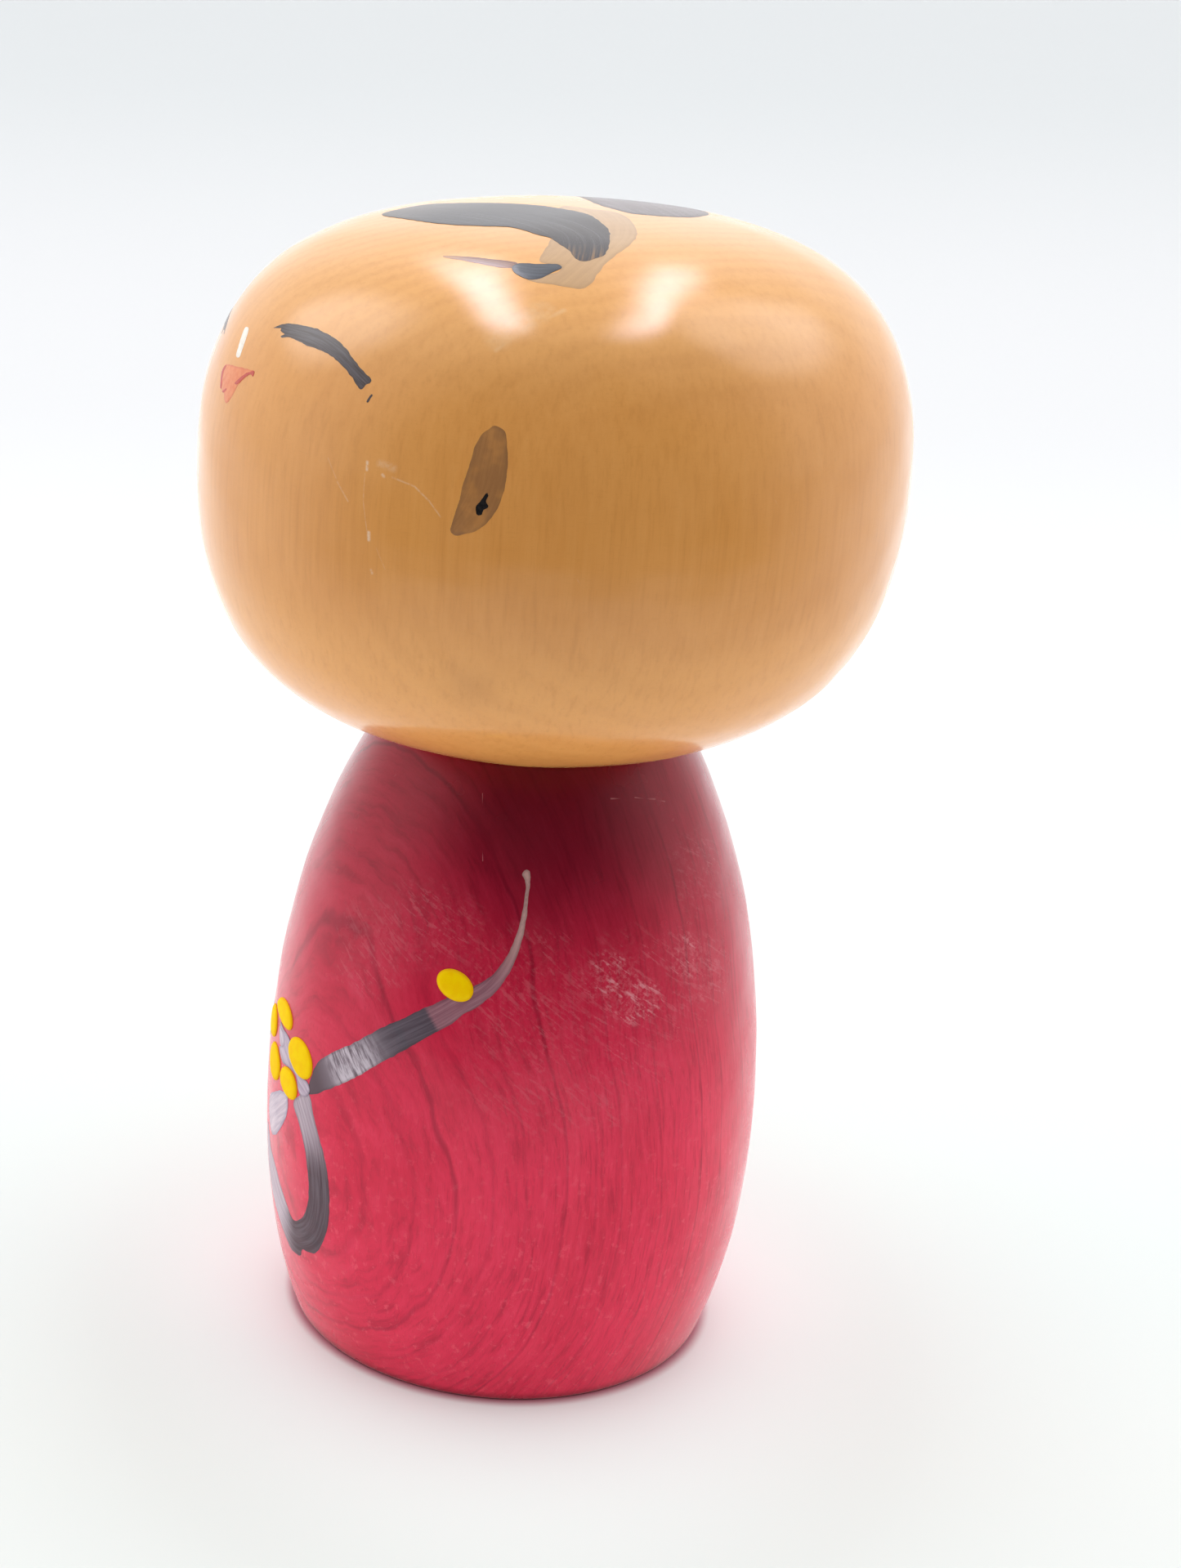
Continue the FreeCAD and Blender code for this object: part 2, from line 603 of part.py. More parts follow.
os.makedirs("parts", exist_ok=True)
for piece in wooden_parts + films:
    solids = piece.Shape.Solids
    shape = solids[0] if len(solids) == 1 else Part.makeCompound(solids)
    shape.exportStep(os.path.join("parts", piece.Label + ".step"))
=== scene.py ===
import math

import bpy
import numpy as np
from mathutils import Matrix, Vector
from mathutils.geometry import delaunay_2d_cdt


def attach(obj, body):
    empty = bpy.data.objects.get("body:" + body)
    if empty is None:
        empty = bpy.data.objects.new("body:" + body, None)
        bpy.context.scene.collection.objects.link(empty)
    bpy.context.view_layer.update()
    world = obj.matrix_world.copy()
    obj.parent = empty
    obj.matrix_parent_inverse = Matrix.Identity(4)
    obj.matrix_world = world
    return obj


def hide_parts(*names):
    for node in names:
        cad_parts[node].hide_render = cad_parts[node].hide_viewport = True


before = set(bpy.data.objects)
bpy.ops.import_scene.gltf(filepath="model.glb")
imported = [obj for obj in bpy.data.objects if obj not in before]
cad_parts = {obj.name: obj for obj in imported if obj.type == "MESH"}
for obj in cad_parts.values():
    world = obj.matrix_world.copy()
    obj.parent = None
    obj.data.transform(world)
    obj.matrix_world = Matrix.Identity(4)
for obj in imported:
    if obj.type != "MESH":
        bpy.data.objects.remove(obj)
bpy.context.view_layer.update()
rng = np.random.default_rng(1512)

# =============================================================== turned forms
# Poles of the head and body outlines, radius and height in millimetres, in the
# same shared frame as the CAD: centre of the base at the origin, +Z up, the
# face looks along -Y.
HEAD_POLES = [(15.0, 87.1), (19.264, 87.052), (27.349, 88.999),
              (38.465, 95.914), (43.743, 107.8), (44.639, 120.357),
              (43.633, 132.979), (36.912, 144.309), (25.043, 149.649),
              (12.587, 151.007), (4.175, 151.22), (0.0, 151.2)]
BODY_POLES = [(28.75, 0.0), (31.574, 7.813), (33.902, 22.444),
              (33.396, 44.538), (29.610, 66.366), (23.886, 79.912),
              (19.8, 87.05)]


def spline(poles, count):
    """Points along a clamped uniform cubic B-spline."""
    p, k = np.array(poles, float), 3
    m = len(p)
    knots = np.r_[[0.0] * k, np.linspace(0, 1, m - k + 1), [1.0] * k]
    t = np.linspace(0, 1, count)
    b = np.array([(knots[i] <= t) & (t < knots[i + 1])
                  for i in range(m + k)], float).T
    b[-1, m - 1] = 1.0
    for d in range(1, k + 1):
        nb = np.zeros((count, m + k - d))
        for i in range(m + k - d):
            u, v = knots[i + d] - knots[i], knots[i + d + 1] - knots[i + 1]
            if u > 0:
                nb[:, i] += (t - knots[i]) / u * b[:, i]
            if v > 0:
                nb[:, i] += (knots[i + d + 1] - t) / v * b[:, i + 1]
        b = nb
    return b[:, :m] @ p


class Form:
    """A turned outline with arc length, so a brush mark can be laid on it."""

    def __init__(self, poles):
        self.p = spline(poles, 3000)
        d = np.diff(self.p, axis=0)
        self.s = np.r_[0, np.cumsum(np.hypot(d[:, 0], d[:, 1]))]
        t = np.gradient(self.p, axis=0)
        n = np.stack([t[:, 1], -t[:, 0]], 1)
        self.n = n / np.maximum(np.linalg.norm(n, axis=1), 1e-12)[:, None]
        self.lo = int(self.p[:, 1].argmin())
        self.hi = int(self.p[:, 1].argmax())
        self.wide = int(self.p[:, 0].argmax())

    def s_of_z(self, z):
        a, b = self.lo, self.hi + 1
        return np.interp(z, self.p[a:b, 1], self.s[a:b])

    def s_of_r(self, r):
        a = self.wide
        return np.interp(-np.asarray(r), -self.p[a:, 0], self.s[a:])

    def at(self, az, s, lift):
        """Point on the form at azimuth az (radians), arc length s, lifted."""
        r, z = np.interp(s, self.s, self.p[:, 0]), np.interp(s, self.s,
                                                             self.p[:, 1])
        nr, nz = np.interp(s, self.s, self.n[:, 0]), np.interp(s, self.s,
                                                               self.n[:, 1])
        q = np.hypot(nr, nz)
        nr, nz = nr / q, nz / q
        c, d = np.cos(az), np.sin(az)
        base = np.stack([r * c, r * d, z], -1)
        lift = lift + waver(base)
        return base + np.stack([nr * c, nr * d, nz], -1) * np.asarray(
            lift)[..., None]


def waver(p):
    """The slight unevenness of a hand-turned, hand-sanded surface, in mm."""
    x, y, z = p[..., 0], p[..., 1], p[..., 2]
    return (0.020 * np.sin(0.33 * x + 0.21 * y + 0.45 * z + 0.7)
            + 0.016 * np.sin(0.52 * y - 0.27 * x + 0.33 * z + 2.1)
            + 0.012 * np.sin(0.71 * z + 0.38 * x - 0.55 * y + 4.0)
            + 0.005 * np.sin(1.9 * z + 0.2 * x))


HEAD, BODY = Form(HEAD_POLES), Form(BODY_POLES)


# =============================================================== mesh helpers
def put_mesh(name, verts_mm, faces, attrs=None, smooth=True):
    """An object from millimetre points; its faces are turned outwards."""
    v = np.asarray(verts_mm, float) * 0.001
    me = bpy.data.meshes.new(name)
    me.from_pydata(v.tolist(), [], [list(map(int, f)) for f in faces])
    me.update()
    tri = np.array([(f[0], f[i], f[i + 1]) for f in faces
                    for i in range(1, len(f) - 1)])
    vol = np.einsum("ij,ij->i", v[tri[:, 0]],
                    np.cross(v[tri[:, 1]], v[tri[:, 2]])).sum()
    if vol < 0:
        me.flip_normals()
    for key, values in (attrs or {}).items():
        a = me.attributes.new(key, "FLOAT", "POINT")
        a.data.foreach_set("value", np.asarray(values, np.float32))
    if smooth:
        me.polygons.foreach_set("use_smooth", [True] * len(me.polygons))
    ob = bpy.data.objects.new(name, me)
    bpy.context.scene.collection.objects.link(ob)
    return ob


def lathe(name, rows, around, sharp=40.0):
    """A closed turned solid. rows run from the axis to the axis as
    (radius, height, unevenness share)."""
    az = np.linspace(0, 2 * np.pi, around, endpoint=False)
    c, s = np.cos(az), np.sin(az)
    verts, faces, rings = [], [], []
    rows = [tuple(map(float, q)) for q in rows]
    for i, (r, z, w) in enumerate(rows):
        lo_, hi_ = rows[max(i - 1, 0)], rows[min(i + 1, len(rows) - 1)]
        tr, tz = hi_[0] - lo_[0], hi_[1] - lo_[1]
        q = max(math.hypot(tr, tz), 1e-9)
        nr, nz = tz / q, -tr / q
        if r < 1e-6:
            rings.append([len(verts)])
            g = float(waver(np.array([0.0, 0.0, z]))) * w
            verts.append((0.0, 0.0, z + g * (1 if nz >= 0 else -1)))
            continue
        ring = np.stack([r * c, r * s, np.full(around, z)], -1)
        if w > 0:
            g = waver(ring) * w
            ring[:, 0] += g * c * nr
            ring[:, 1] += g * s * nr
            ring[:, 2] += g * nz
        rings.append(list(range(len(verts), len(verts) + around)))
        verts.extend(map(tuple, ring))
    for a, b in zip(rings, rings[1:]):
        for j in range(around):
            k = (j + 1) % around
            if len(a) == 1 and len(b) == 1:
                continue
            if len(a) == 1:
                faces.append((a[0], b[k], b[j]))
            elif len(b) == 1:
                faces.append((a[j], a[k], b[0]))
            else:
                faces.append((a[j], a[k], b[k], b[j]))
    ob = put_mesh(name, verts, faces)
    ob.data.set_sharp_from_angle(angle=math.radians(sharp))
    return ob


def round_corner(pts, i, radius, steps=7):
    """Rounds corner i of a fine outline with an arc tangent to both sides."""
    p = np.array(pts, float)
    c = p[i]

    def walk(step):
        j, run = i, 0.0
        while 0 <= j + step < len(p) and run < radius * 3:
            run += np.linalg.norm(p[j + step] - p[j])
            j += step
        return (p[j] - c) / np.linalg.norm(p[j] - c)
    a, b = walk(-1), walk(1)
    half = math.acos(np.clip(a @ b, -1, 1)) / 2
    reach = radius / math.tan(half)
    mid = (a + b) / np.linalg.norm(a + b)
    centre = c + mid * radius / math.sin(half)
    u, v = c + a * reach - centre, c + b * reach - centre
    arc = []
    for t in np.linspace(0, 1, steps):
        w = u * (1 - t) + v * t
        arc.append(centre + w / np.linalg.norm(w) * radius)
    j, k = i, i
    while j > 0 and np.linalg.norm(p[j] - c) < reach * 1.02:
        j -= 1
    while k < len(p) - 1 and np.linalg.norm(p[k] - c) < reach * 1.02:
        k += 1
    return np.vstack([p[:j + 1], arc, p[k:]])


def line(a, b, n):
    t = np.linspace(0, 1, n)[:, None]
    return np.array(a) * (1 - t) + np.array(b) * t


# ---- head: underside land, bore for the neck dowel with its lead and drill tip
side = spline(HEAD_POLES, 190)
rows = np.vstack([line((0, 109.5), (8.05, 107.1), 5)[:-1],
                  line((8.05, 107.1), (8.05, 87.9), 8)[:-1],
                  line((8.05, 87.9), (8.85, 87.1), 3)[:-1],
                  line((8.85, 87.1), (15.0, 87.1), 6)[:-1],
                  side])
share = np.clip((np.arange(len(rows)) - 22) / 14.0, 0, 1)
head = lathe("head_turned", [(r, z, w) for (r, z), w in zip(rows, share)], 280)

# ---- body: base with shallow lathe rings, rounded foot, shoulder, dowel bore
foot = np.array([(r, 0.045 * (1 - math.cos(r * 2 * math.pi / 2.35))
                  * (1 if 3 < r < 27 else 0))
                 for r in np.linspace(0, 28.75, 104)])
wall = spline(BODY_POLES, 230)
top = np.vstack([line((19.8, 87.05), (8.8, 87.05), 9)[1:],
                 line((8.8, 87.05), (8.0, 86.25), 3)[1:],
                 line((8.0, 86.25), (8.0, 67.05), 8)[1:],
                 line((8.0, 67.05), (0.0, 64.65), 5)[1:]])
out = np.vstack([foot, wall[1:], top])
out = round_corner(out, len(foot) - 1, 0.9)
k = int(np.argmin(np.hypot(out[:, 0] - 19.8, out[:, 1] - 87.05)))
out = round_corner(out, k, 1.0)
share = np.where((out[:, 1] > 2.0) & (out[:, 1] < 84.0) & (out[:, 0] > 18), 1,
                 0.0)
share = np.convolve(np.pad(share, 6, mode="edge"), np.ones(13) / 13, "valid")
body = lathe("body_turned", [(r, z, w) for (r, z), w in zip(out, share)], 260)

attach(head, "doll_head")
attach(body, "doll_body")
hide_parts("head")
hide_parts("body")


# ================================================================ brush marks
def rounded(points, step, ragged, seed):
    """A closed hand-drawn outline through the points, with a slightly uneven
    edge like paint dragged over wood."""
    p = np.array(points, float)
    n = len(p)
    out = []
    for i in range(n):
        a, b, c, d = p[i - 1], p[i], p[(i + 1) % n], p[(i + 2) % n]
        t = [0.0]
        for u, v in ((a, b), (b, c), (c, d)):
            t.append(t[-1] + max(np.linalg.norm(v - u), 1e-6) ** 0.5)
        cuts = max(1, int(round(np.linalg.norm(c - b) / step)))
        for q in range(cuts):
            x = t[1] + (t[2] - t[1]) * q / cuts
            A = (t[1] - x) / (t[1] - t[0]) * a + (x - t[0]) / (t[1] - t[0]) * b
            B = (t[2] - x) / (t[2] - t[1]) * b + (x - t[1]) / (t[2] - t[1]) * c
            C = (t[3] - x) / (t[3] - t[2]) * c + (x - t[2]) / (t[3] - t[2]) * d
            D = (t[2] - x) / (t[2] - t[0]) * A + (x - t[0]) / (t[2] - t[0]) * B
            E = (t[3] - x) / (t[3] - t[1]) * B + (x - t[1]) / (t[3] - t[1]) * C
            out.append((t[2] - x) / (t[2] - t[1]) * D
                       + (x - t[1]) / (t[2] - t[1]) * E)
    out = np.array(out)
    if ragged:
        r = np.random.default_rng(seed)
        tan = np.roll(out, -1, 0) - np.roll(out, 1, 0)
        nor = np.stack([tan[:, 1], -tan[:, 0]], 1)
        nor /= np.maximum(np.linalg.norm(nor, axis=1), 1e-9)[:, None]
        g = r.normal(size=len(out))
        w = (g + np.roll(g, 1) + np.roll(g, -1)) / 1.7 * 0.6
        g2 = r.normal(size=len(out))
        for _ in range(3):
            g2 = (g2 + np.roll(g2, 1) + np.roll(g2, -1)) / 2.2
        out = out + nor * (ragged * (0.6 * w + 0.5 * g2))[:, None]
    return out


def inside(poly, pts):
    x, y = pts[:, 0][:, None], pts[:, 1][:, None]
    a, b = poly, np.roll(poly, -1, 0)
    with np.errstate(divide="ignore", invalid="ignore"):
        cross = ((a[:, 1] > y) != (b[:, 1] > y)) & (
            x < (b[:, 0] - a[:, 0]) * (y - a[:, 1])
            / (b[:, 1] - a[:, 1]) + a[:, 0])
    return cross.sum(1) % 2 == 1


def seg_distance(poly, pts, closed=True):
    """Distance to a polyline, plus run along it and signed offset."""
    a = poly if closed else poly[:-1]
    b = np.roll(poly, -1, 0) if closed else poly[1:]
    ab = b - a
    l2 = np.maximum((ab ** 2).sum(1), 1e-12)
    t = np.clip(((pts[:, None] - a) * ab).sum(2) / l2, 0, 1)
    near = a + t[..., None] * ab
    d = np.linalg.norm(pts[:, None] - near, axis=2)
    k = d.argmin(1)
    rows_ = np.arange(len(pts))
    length = np.r_[0, np.cumsum(np.sqrt(l2))]
    run = length[k] + t[rows_, k] * np.sqrt(l2[k])
    off = pts - near[rows_, k]
    sign = np.sign(ab[k, 0] * off[:, 1] - ab[k, 1] * off[:, 0])
    return d[rows_, k], run, sign * d[rows_, k]


def film(name, form, plane, outlines, rides, node, high=0.03, low=-0.06,
         spacing=0.42, ease=0.6, ragged=0.035, spine=None, dome=0.0, seed=1,
         rim=0.0, under=0.0):
    """A coat of paint: a thin closed shell that follows the turned form.
    plane is "side" (azimuth degrees, height) or "crown" (x, y)."""
    allv, allf, attrs = [], [], {"be": [], "bt": [], "bw": []}
    for n_out, outline in enumerate(outlines):
        pts = np.array(outline, float)
        if plane == "side":
            az0, z0 = pts[:, 0].mean(), pts[:, 1].mean()
            s0 = float(form.s_of_z(z0))
            r0 = float(np.interp(s0, form.s, form.p[:, 0]))

            def flat(q):
                q = np.array(q, float)
                return np.stack([np.radians(q[:, 0] - az0) * r0,
                                 form.s_of_z(q[:, 1]) - s0], 1)

            def lay(q, lift):
                return form.at(q[:, 0] / r0 + math.radians(az0),
                               q[:, 1] + s0, lift)
        else:
            def flat(q):
                return np.array(q, float)

            def lay(q, lift):
                r = np.hypot(q[:, 0], q[:, 1])
                return form.at(np.arctan2(q[:, 1], q[:, 0]),
                               form.s_of_r(r), lift)
        edge = rounded(flat(pts), spacing * 0.62, ragged, seed + n_out)
        lo, hi = edge.min(0), edge.max(0)
        gx = np.arange(lo[0], hi[0], spacing)
        gy = np.arange(lo[1], hi[1], spacing * 0.866)
        grid = np.stack(np.meshgrid(gx, gy), -1).astype(float)
        grid[1::2, :, 0] += spacing / 2
        grid = grid.reshape(-1, 2)
        grid = grid[inside(edge, grid)]
        if len(grid):
            grid = grid[seg_distance(edge, grid)[0] > spacing * 0.42]
        cloud = [Vector(map(float, q)) for q in np.vstack([edge, grid])]
        ring_ids = list(range(len(edge)))
        v2, _, tris, *_ = delaunay_2d_cdt(cloud, [], [ring_ids], 1, 1e-6)
        v2 = np.array([tuple(v) for v in v2])
        tris = [tuple(f) for f in tris if len(f) == 3]
        used = sorted({i for f in tris for i in f})
        remap = {i: j for j, i in enumerate(used)}
        v2 = v2[used]
        tris = [tuple(remap[i] for i in f) for f in tris]
        be = seg_distance(edge, v2)[0]
        if spine is not None:
            path = spine[n_out] if isinstance(spine[0], list) else spine
            path = rounded_open(flat(path), 0.5)
            _, bt, bw = seg_distance(path, v2, closed=False)
        else:
            q = v2 - v2.mean(0)
            axis = np.linalg.svd(q, full_matrices=False)[2][0]
            bt, bw = q @ axis, q @ np.array([-axis[1], axis[0]])
        e = np.clip(be / ease, 0, 1)
        lift = under + high * (0.30 + 0.70 * e * e * (3 - 2 * e))
        if rim:
            lift += rim * np.exp(-((be - ease) / (ease * 0.7)) ** 2)
        if dome:
            g = np.clip(be / max(be.max(), 1e-6), 0, 1)
            lift += dome * np.sqrt(np.clip(1 - (1 - g) ** 2.4, 0, 1))
        base = len(allv)
        count = len(v2)
        allv.extend(lay(v2, lift).tolist())
        allv.extend(lay(v2, np.full(count, low)).tolist())
        owner = {}
        for f in tris:
            allf.append(tuple(base + i for i in f))
            allf.append(tuple(base + count + i for i in reversed(f)))
            for i in range(3):
                u, w = f[i], f[(i + 1) % 3]
                owner.setdefault((min(u, w), max(u, w)), []).append((u, w))
        for pairs in owner.values():
            if len(pairs) == 1:
                u, w = pairs[0]
                allf.append((base + w, base + u, base + count + u,
                             base + count + w))
        for key, val in (("be", be), ("bt", bt), ("bw", bw)):
            attrs[key].extend(val.tolist() * 2)
    ob = put_mesh(name, allv, allf, attrs)
    ob.data.set_sharp_from_angle(angle=math.radians(35))
    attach(ob, rides)
    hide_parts(node)
    return ob


def rounded_open(p, step):
    out = [p[0]]
    for i in range(len(p) - 1):
        a, b = p[max(i - 1, 0)], p[i]
        c, d = p[i + 1], p[min(i + 2, len(p) - 1)]
        cuts = max(2, int(np.linalg.norm(c - b) / step))
        for q in range(1, cuts + 1):
            t = q / cuts
            out.append(0.5 * ((2 * b) + (c - a) * t
                              + (2 * a - 5 * b + 4 * c - d) * t * t
                              + (3 * b - a - 3 * c + d) * t ** 3))
    return np.array(out)


def oval(az, z, wide, tall, lean=0.0, radius=33.0, seed=0):
    """An egg-shaped dab of enamel; wide and tall are its half sizes in mm."""
    r = np.random.default_rng(seed + 40)
    pts = []
    for t in np.linspace(0, 2 * math.pi, 26, endpoint=False):
        k = 1 + 0.04 * math.sin(2 * t + seed) + r.normal() * 0.008
        x, y = wide * k * math.cos(t), tall * k * math.sin(t)
        c, s = math.cos(math.radians(lean)), math.sin(math.radians(lean))
        pts.append((az + math.degrees((x * c - y * s) / radius),
                    z + x * s + y * c))
    return pts


def mirrored(outline, axis=-91.0, shift=0.0, lower=0.0):
    return [(2 * axis - a + shift, z - lower) for a, z in outline][::-1]


EYE = [(-82.3, 139.75), (-80.5, 140.32), (-78.38, 140.66), (-76.05, 140.83),
       (-73.26, 140.92), (-70.0, 140.88), (-67.15, 140.66), (-64.73, 140.31),
       (-62.53, 139.85), (-60.66, 139.19), (-58.75, 138.53), (-56.96, 137.86),
       (-55.41, 137.42), (-54.98, 137.12), (-55.2, 136.79), (-55.81, 136.6),
       (-56.39, 136.1), (-57.11, 136.27), (-59.15, 137.22), (-61.87, 138.14),
       (-64.55, 138.71), (-67.19, 139.03), (-69.73, 139.11), (-71.53, 139.17),
       (-73.56, 139.32), (-76.17, 139.45), (-78.25, 139.14), (-78.82, 139.25),
       (-78.01, 139.56), (-79.88, 139.73), (-79.94, 139.94)]
EYE_LINE = [(-83.0, 139.9), (-78.0, 139.98), (-73.0, 140.1), (-68.0, 139.9),
            (-63.0, 139.1), (-59.0, 137.9), (-55.0, 136.6)]
TICK = [(-54.23, 135.8), (-53.99, 135.72), (-54.17, 135.33),
        (-54.54, 134.88), (-54.83, 134.92), (-54.74, 135.27),
        (-54.49, 135.57)]
NOSE = [(-92.79, 138.52), (-92.16, 138.64), (-91.24, 138.63), (-90.47, 138.3),
        (-89.49, 137.21), (-89.03, 136.33), (-88.8, 135.71), (-89.23, 135.5),
        (-90.2, 135.47), (-90.62, 135.64), (-91.23, 136.5), (-92.17, 137.51),
        (-92.77, 138.22)]
MOUTH = [(-93.4, 133.99), (-88.32, 134.59), (-85.07, 134.83),
         (-81.68, 134.95), (-82.88, 134.45), (-85.58, 132.78),
         (-86.34, 131.53), (-87.99, 130.35), (-89.08, 130.52),
         (-90.29, 131.25), (-91.99, 131.45), (-93.43, 132.34),
         (-93.93, 133.33)]
LIPS = [[(-81.96, 134.99), (-81.6, 134.78), (-81.7, 134.41), (-82.27, 134.5),
         (-83.0, 134.45), (-84.39, 133.82), (-85.49, 133.06),
         (-86.32, 132.82), (-86.87, 132.87), (-86.24, 133.34),
         (-85.03, 134.03), (-83.85, 134.53), (-82.7, 134.81),
         (-82.51, 134.95)],
        [(-93.35, 134.02), (-92.91, 134.01), (-93.12, 133.36),
         (-92.74, 132.55), (-91.99, 131.8), (-92.07, 131.44),
         (-92.43, 131.42), (-93.35, 132.16), (-94.12, 133.21)],
        [(-91.08, 131.24), (-90.28, 131.6), (-89.57, 131.85),
         (-89.33, 131.79), (-89.8, 131.48), (-90.6, 131.22)]]
EAR = [(-33.58, 134.06), (-32.19, 133.8), (-31.56, 132.83), (-31.19, 130.98),
       (-31.07, 129.0), (-31.36, 127.23), (-32.01, 125.5), (-33.3, 123.97),
       (-34.52, 122.98), (-36.38, 122.29), (-37.63, 122.0), (-38.43, 122.12),
       (-38.71, 122.55), (-38.34, 123.96), (-37.79, 125.72), (-37.2, 128.04),
       (-36.54, 130.31), (-36.02, 132.06), (-34.95, 133.4)]
EAR_LINE = [(-33.4, 134.3), (-33.8, 131.0), (-34.4, 127.5), (-36.0, 124.5),
            (-38.4, 121.8)]
EAR_SPOT = [(-33.71, 127.01), (-33.53, 126.76), (-33.72, 126.18),
            (-33.41, 125.57), (-34.09, 125.15), (-34.26, 124.67),
            (-34.91, 124.57), (-35.15, 125.47), (-34.56, 126.12),
            (-34.04, 126.78)]
FRINGE = [(-11.79, -19.35), (-12.93, -16.46), (-13.94, -12.89),
          (-10.57, -8.86), (-7.61, -5.02), (-4.17, -1.43), (-0.74, 0.21),
          (3.28, 1.21), (8.86, 0.51), (13.06, -0.52), (16.06, -1.78),
          (19.76, -3.75), (21.43, -4.96), (22.3, -6.39), (22.6, -8.0),
          (21.54, -8.57), (19.56, -8.29), (17.24, -8.46), (14.65, -8.52),
          (12.42, -9.36), (9.79, -10.03), (7.69, -10.95), (5.59, -13.71),
          (2.78, -16.51), (-1.5, -18.46)]
FRINGE_LINE = [(-15.5, -17.5), (-8.0, -11.8), (0.0, -7.6), (7.0, -5.2),
               (13.0, -4.6), (18.0, -5.8), (23.5, -8.6)]
WASH = [(-3.54, 1.48), (-0.82, 3.43), (1.82, 5.39), (6.04, 5.29),
        (11.67, 3.6), (15.96, 1.66), (19.37, -1.01), (22.31, -4.17),
        (24.15, -6.18), (25.98, -7.87), (27.58, -9.43), (27.96, -10.47),
        (27.37, -11.66), (26.05, -13.42), (25.08, -14.74), (24.12, -15.5),
        (23.92, -11.65), (22.74, -10.86), (21.23, -12.7), (19.02, -11.49),
        (15.0, -8.68)]
WASH_LINE = [(-3.0, 2.5), (5.0, 1.5), (13.0, -1.5), (19.0, -6.0),
             (23.5, -10.5), (27.0, -15.5)]
LOCK = [(20.9, -16.03), (20.52, -15.03), (21.51, -13.25), (22.54, -11.06),
        (23.31, -10.96), (23.96, -12.54), (24.54, -13.94), (24.24, -15.26),
        (22.84, -16.13)]
TAIL = [(13.66, -21.5), (15.55, -19.56), (18.12, -17.1), (20.35, -15.1),
        (21.05, -15.97), (20.62, -16.96), (18.76, -18.52), (16.33, -20.16),
        (14.07, -21.6)]
NAPE = [(4.6, 11.2), (4.47, 10.35), (3.2, 7.47), (-0.41, 6.46),
        (-4.38, 6.35), (-14.0, 8.2), (-21.0, 10.8), (-26.0, 14.2),
        (-28.0, 17.0), (-25.0, 18.4), (-18.0, 20.3), (-9.0, 21.2),
        (-2.37, 20.43), (0.54, 18.8), (4.31, 14.62)]
NAPE_LINE = [(6.0, 12.5), (-3.0, 13.5), (-14.0, 14.6), (-28.0, 17.4)]
LONG = [(-77.31, 39.74), (-74.09, 40.49), (-71.22, 41.6), (-67.9, 42.96),
        (-63.62, 44.76), (-60.22, 46.3), (-56.01, 48.49), (-51.95, 50.28),
        (-48.07, 52.08), (-44.75, 53.6), (-42.43, 54.68), (-39.63, 55.77),
        (-36.48, 57.51), (-33.69, 58.52), (-31.43, 59.71), (-29.15, 60.87),
        (-27.41, 62.5), (-26.09, 63.83), (-24.85, 65.9), (-23.82, 67.93),
        (-23.34, 70.41), (-23.04, 72.37), (-22.89, 74.78), (-23.19, 75.37),
        (-24.3, 75.47), (-25.19, 74.92), (-24.23, 74.23), (-24.18, 71.86),
        (-24.66, 69.89), (-25.3, 68.39), (-26.56, 66.35), (-28.32, 64.51),
        (-30.57, 62.86), (-32.81, 61.83), (-34.68, 61.11), (-37.01, 60.1),
        (-40.4, 59.28), (-44.72, 57.78), (-48.13, 56.56), (-52.08, 54.95),
        (-56.71, 53.14), (-61.51, 50.91), (-66.11, 48.88), (-70.52, 47.08),
        (-73.52, 45.58), (-75.49, 44.02), (-76.47, 42.43)]
LONG_LINE = [(-78.0, 41.8), (-70.0, 44.6), (-61.0, 48.5), (-52.0, 52.6),
             (-44.0, 55.8), (-37.0, 58.8), (-31.0, 61.3), (-27.0, 64.4),
             (-24.6, 68.5), (-23.8, 72.5), (-23.7, 76.0)]
SHORT = [(-108.6, 40.2), (-109.0, 44.0), (-118.0, 43.4), (-130.0, 39.9),
         (-142.0, 34.2), (-153.0, 27.0), (-159.5, 21.6), (-160.2, 20.2),
         (-158.5, 20.4), (-150.0, 24.6), (-139.0, 30.0), (-128.0, 34.6),
         (-117.0, 38.0)]
SHORT_LINE = [(-107.5, 42.0), (-118.0, 40.8), (-130.0, 37.3),
              (-142.0, 31.8), (-153.0, 25.4), (-160.8, 19.6)]
LOOP = [(-76.79, 39.7), (-74.45, 37.64), (-72.13, 35.05), (-70.08, 32.96),
        (-68.71, 30.68), (-67.71, 28.07), (-67.56, 26.05), (-67.76, 23.49),
        (-68.63, 21.14), (-70.92, 18.26), (-73.98, 16.15), (-77.04, 15.51),
        (-79.68, 15.14), (-80.9, 13.75), (-83.27, 13.32), (-86.6, 13.15),
        (-90.01, 14.28), (-93.18, 15.46), (-97.12, 16.82), (-101.2, 18.9),
        (-103.8, 22.0), (-104.6, 25.6), (-103.2, 28.2), (-101.0, 27.4),
        (-98.4, 25.6), (-94.04, 24.1), (-90.95, 22.4), (-86.78, 20.4),
        (-83.6, 18.9), (-80.4, 19.6), (-76.96, 21.78), (-75.27, 24.8),
        (-75.54, 28.47), (-77.57, 32.21), (-80.44, 34.87), (-83.27, 36.72)]
LOOP_LINE = [(-81.0, 39.0), (-76.5, 35.9), (-73.2, 32.4), (-71.6, 28.0),
             (-71.5, 24.0), (-73.4, 20.3), (-77.6, 17.7), (-83.0, 16.3),
             (-89.0, 17.3), (-95.0, 19.6), (-100.5, 22.3), (-104.0, 27.8)]
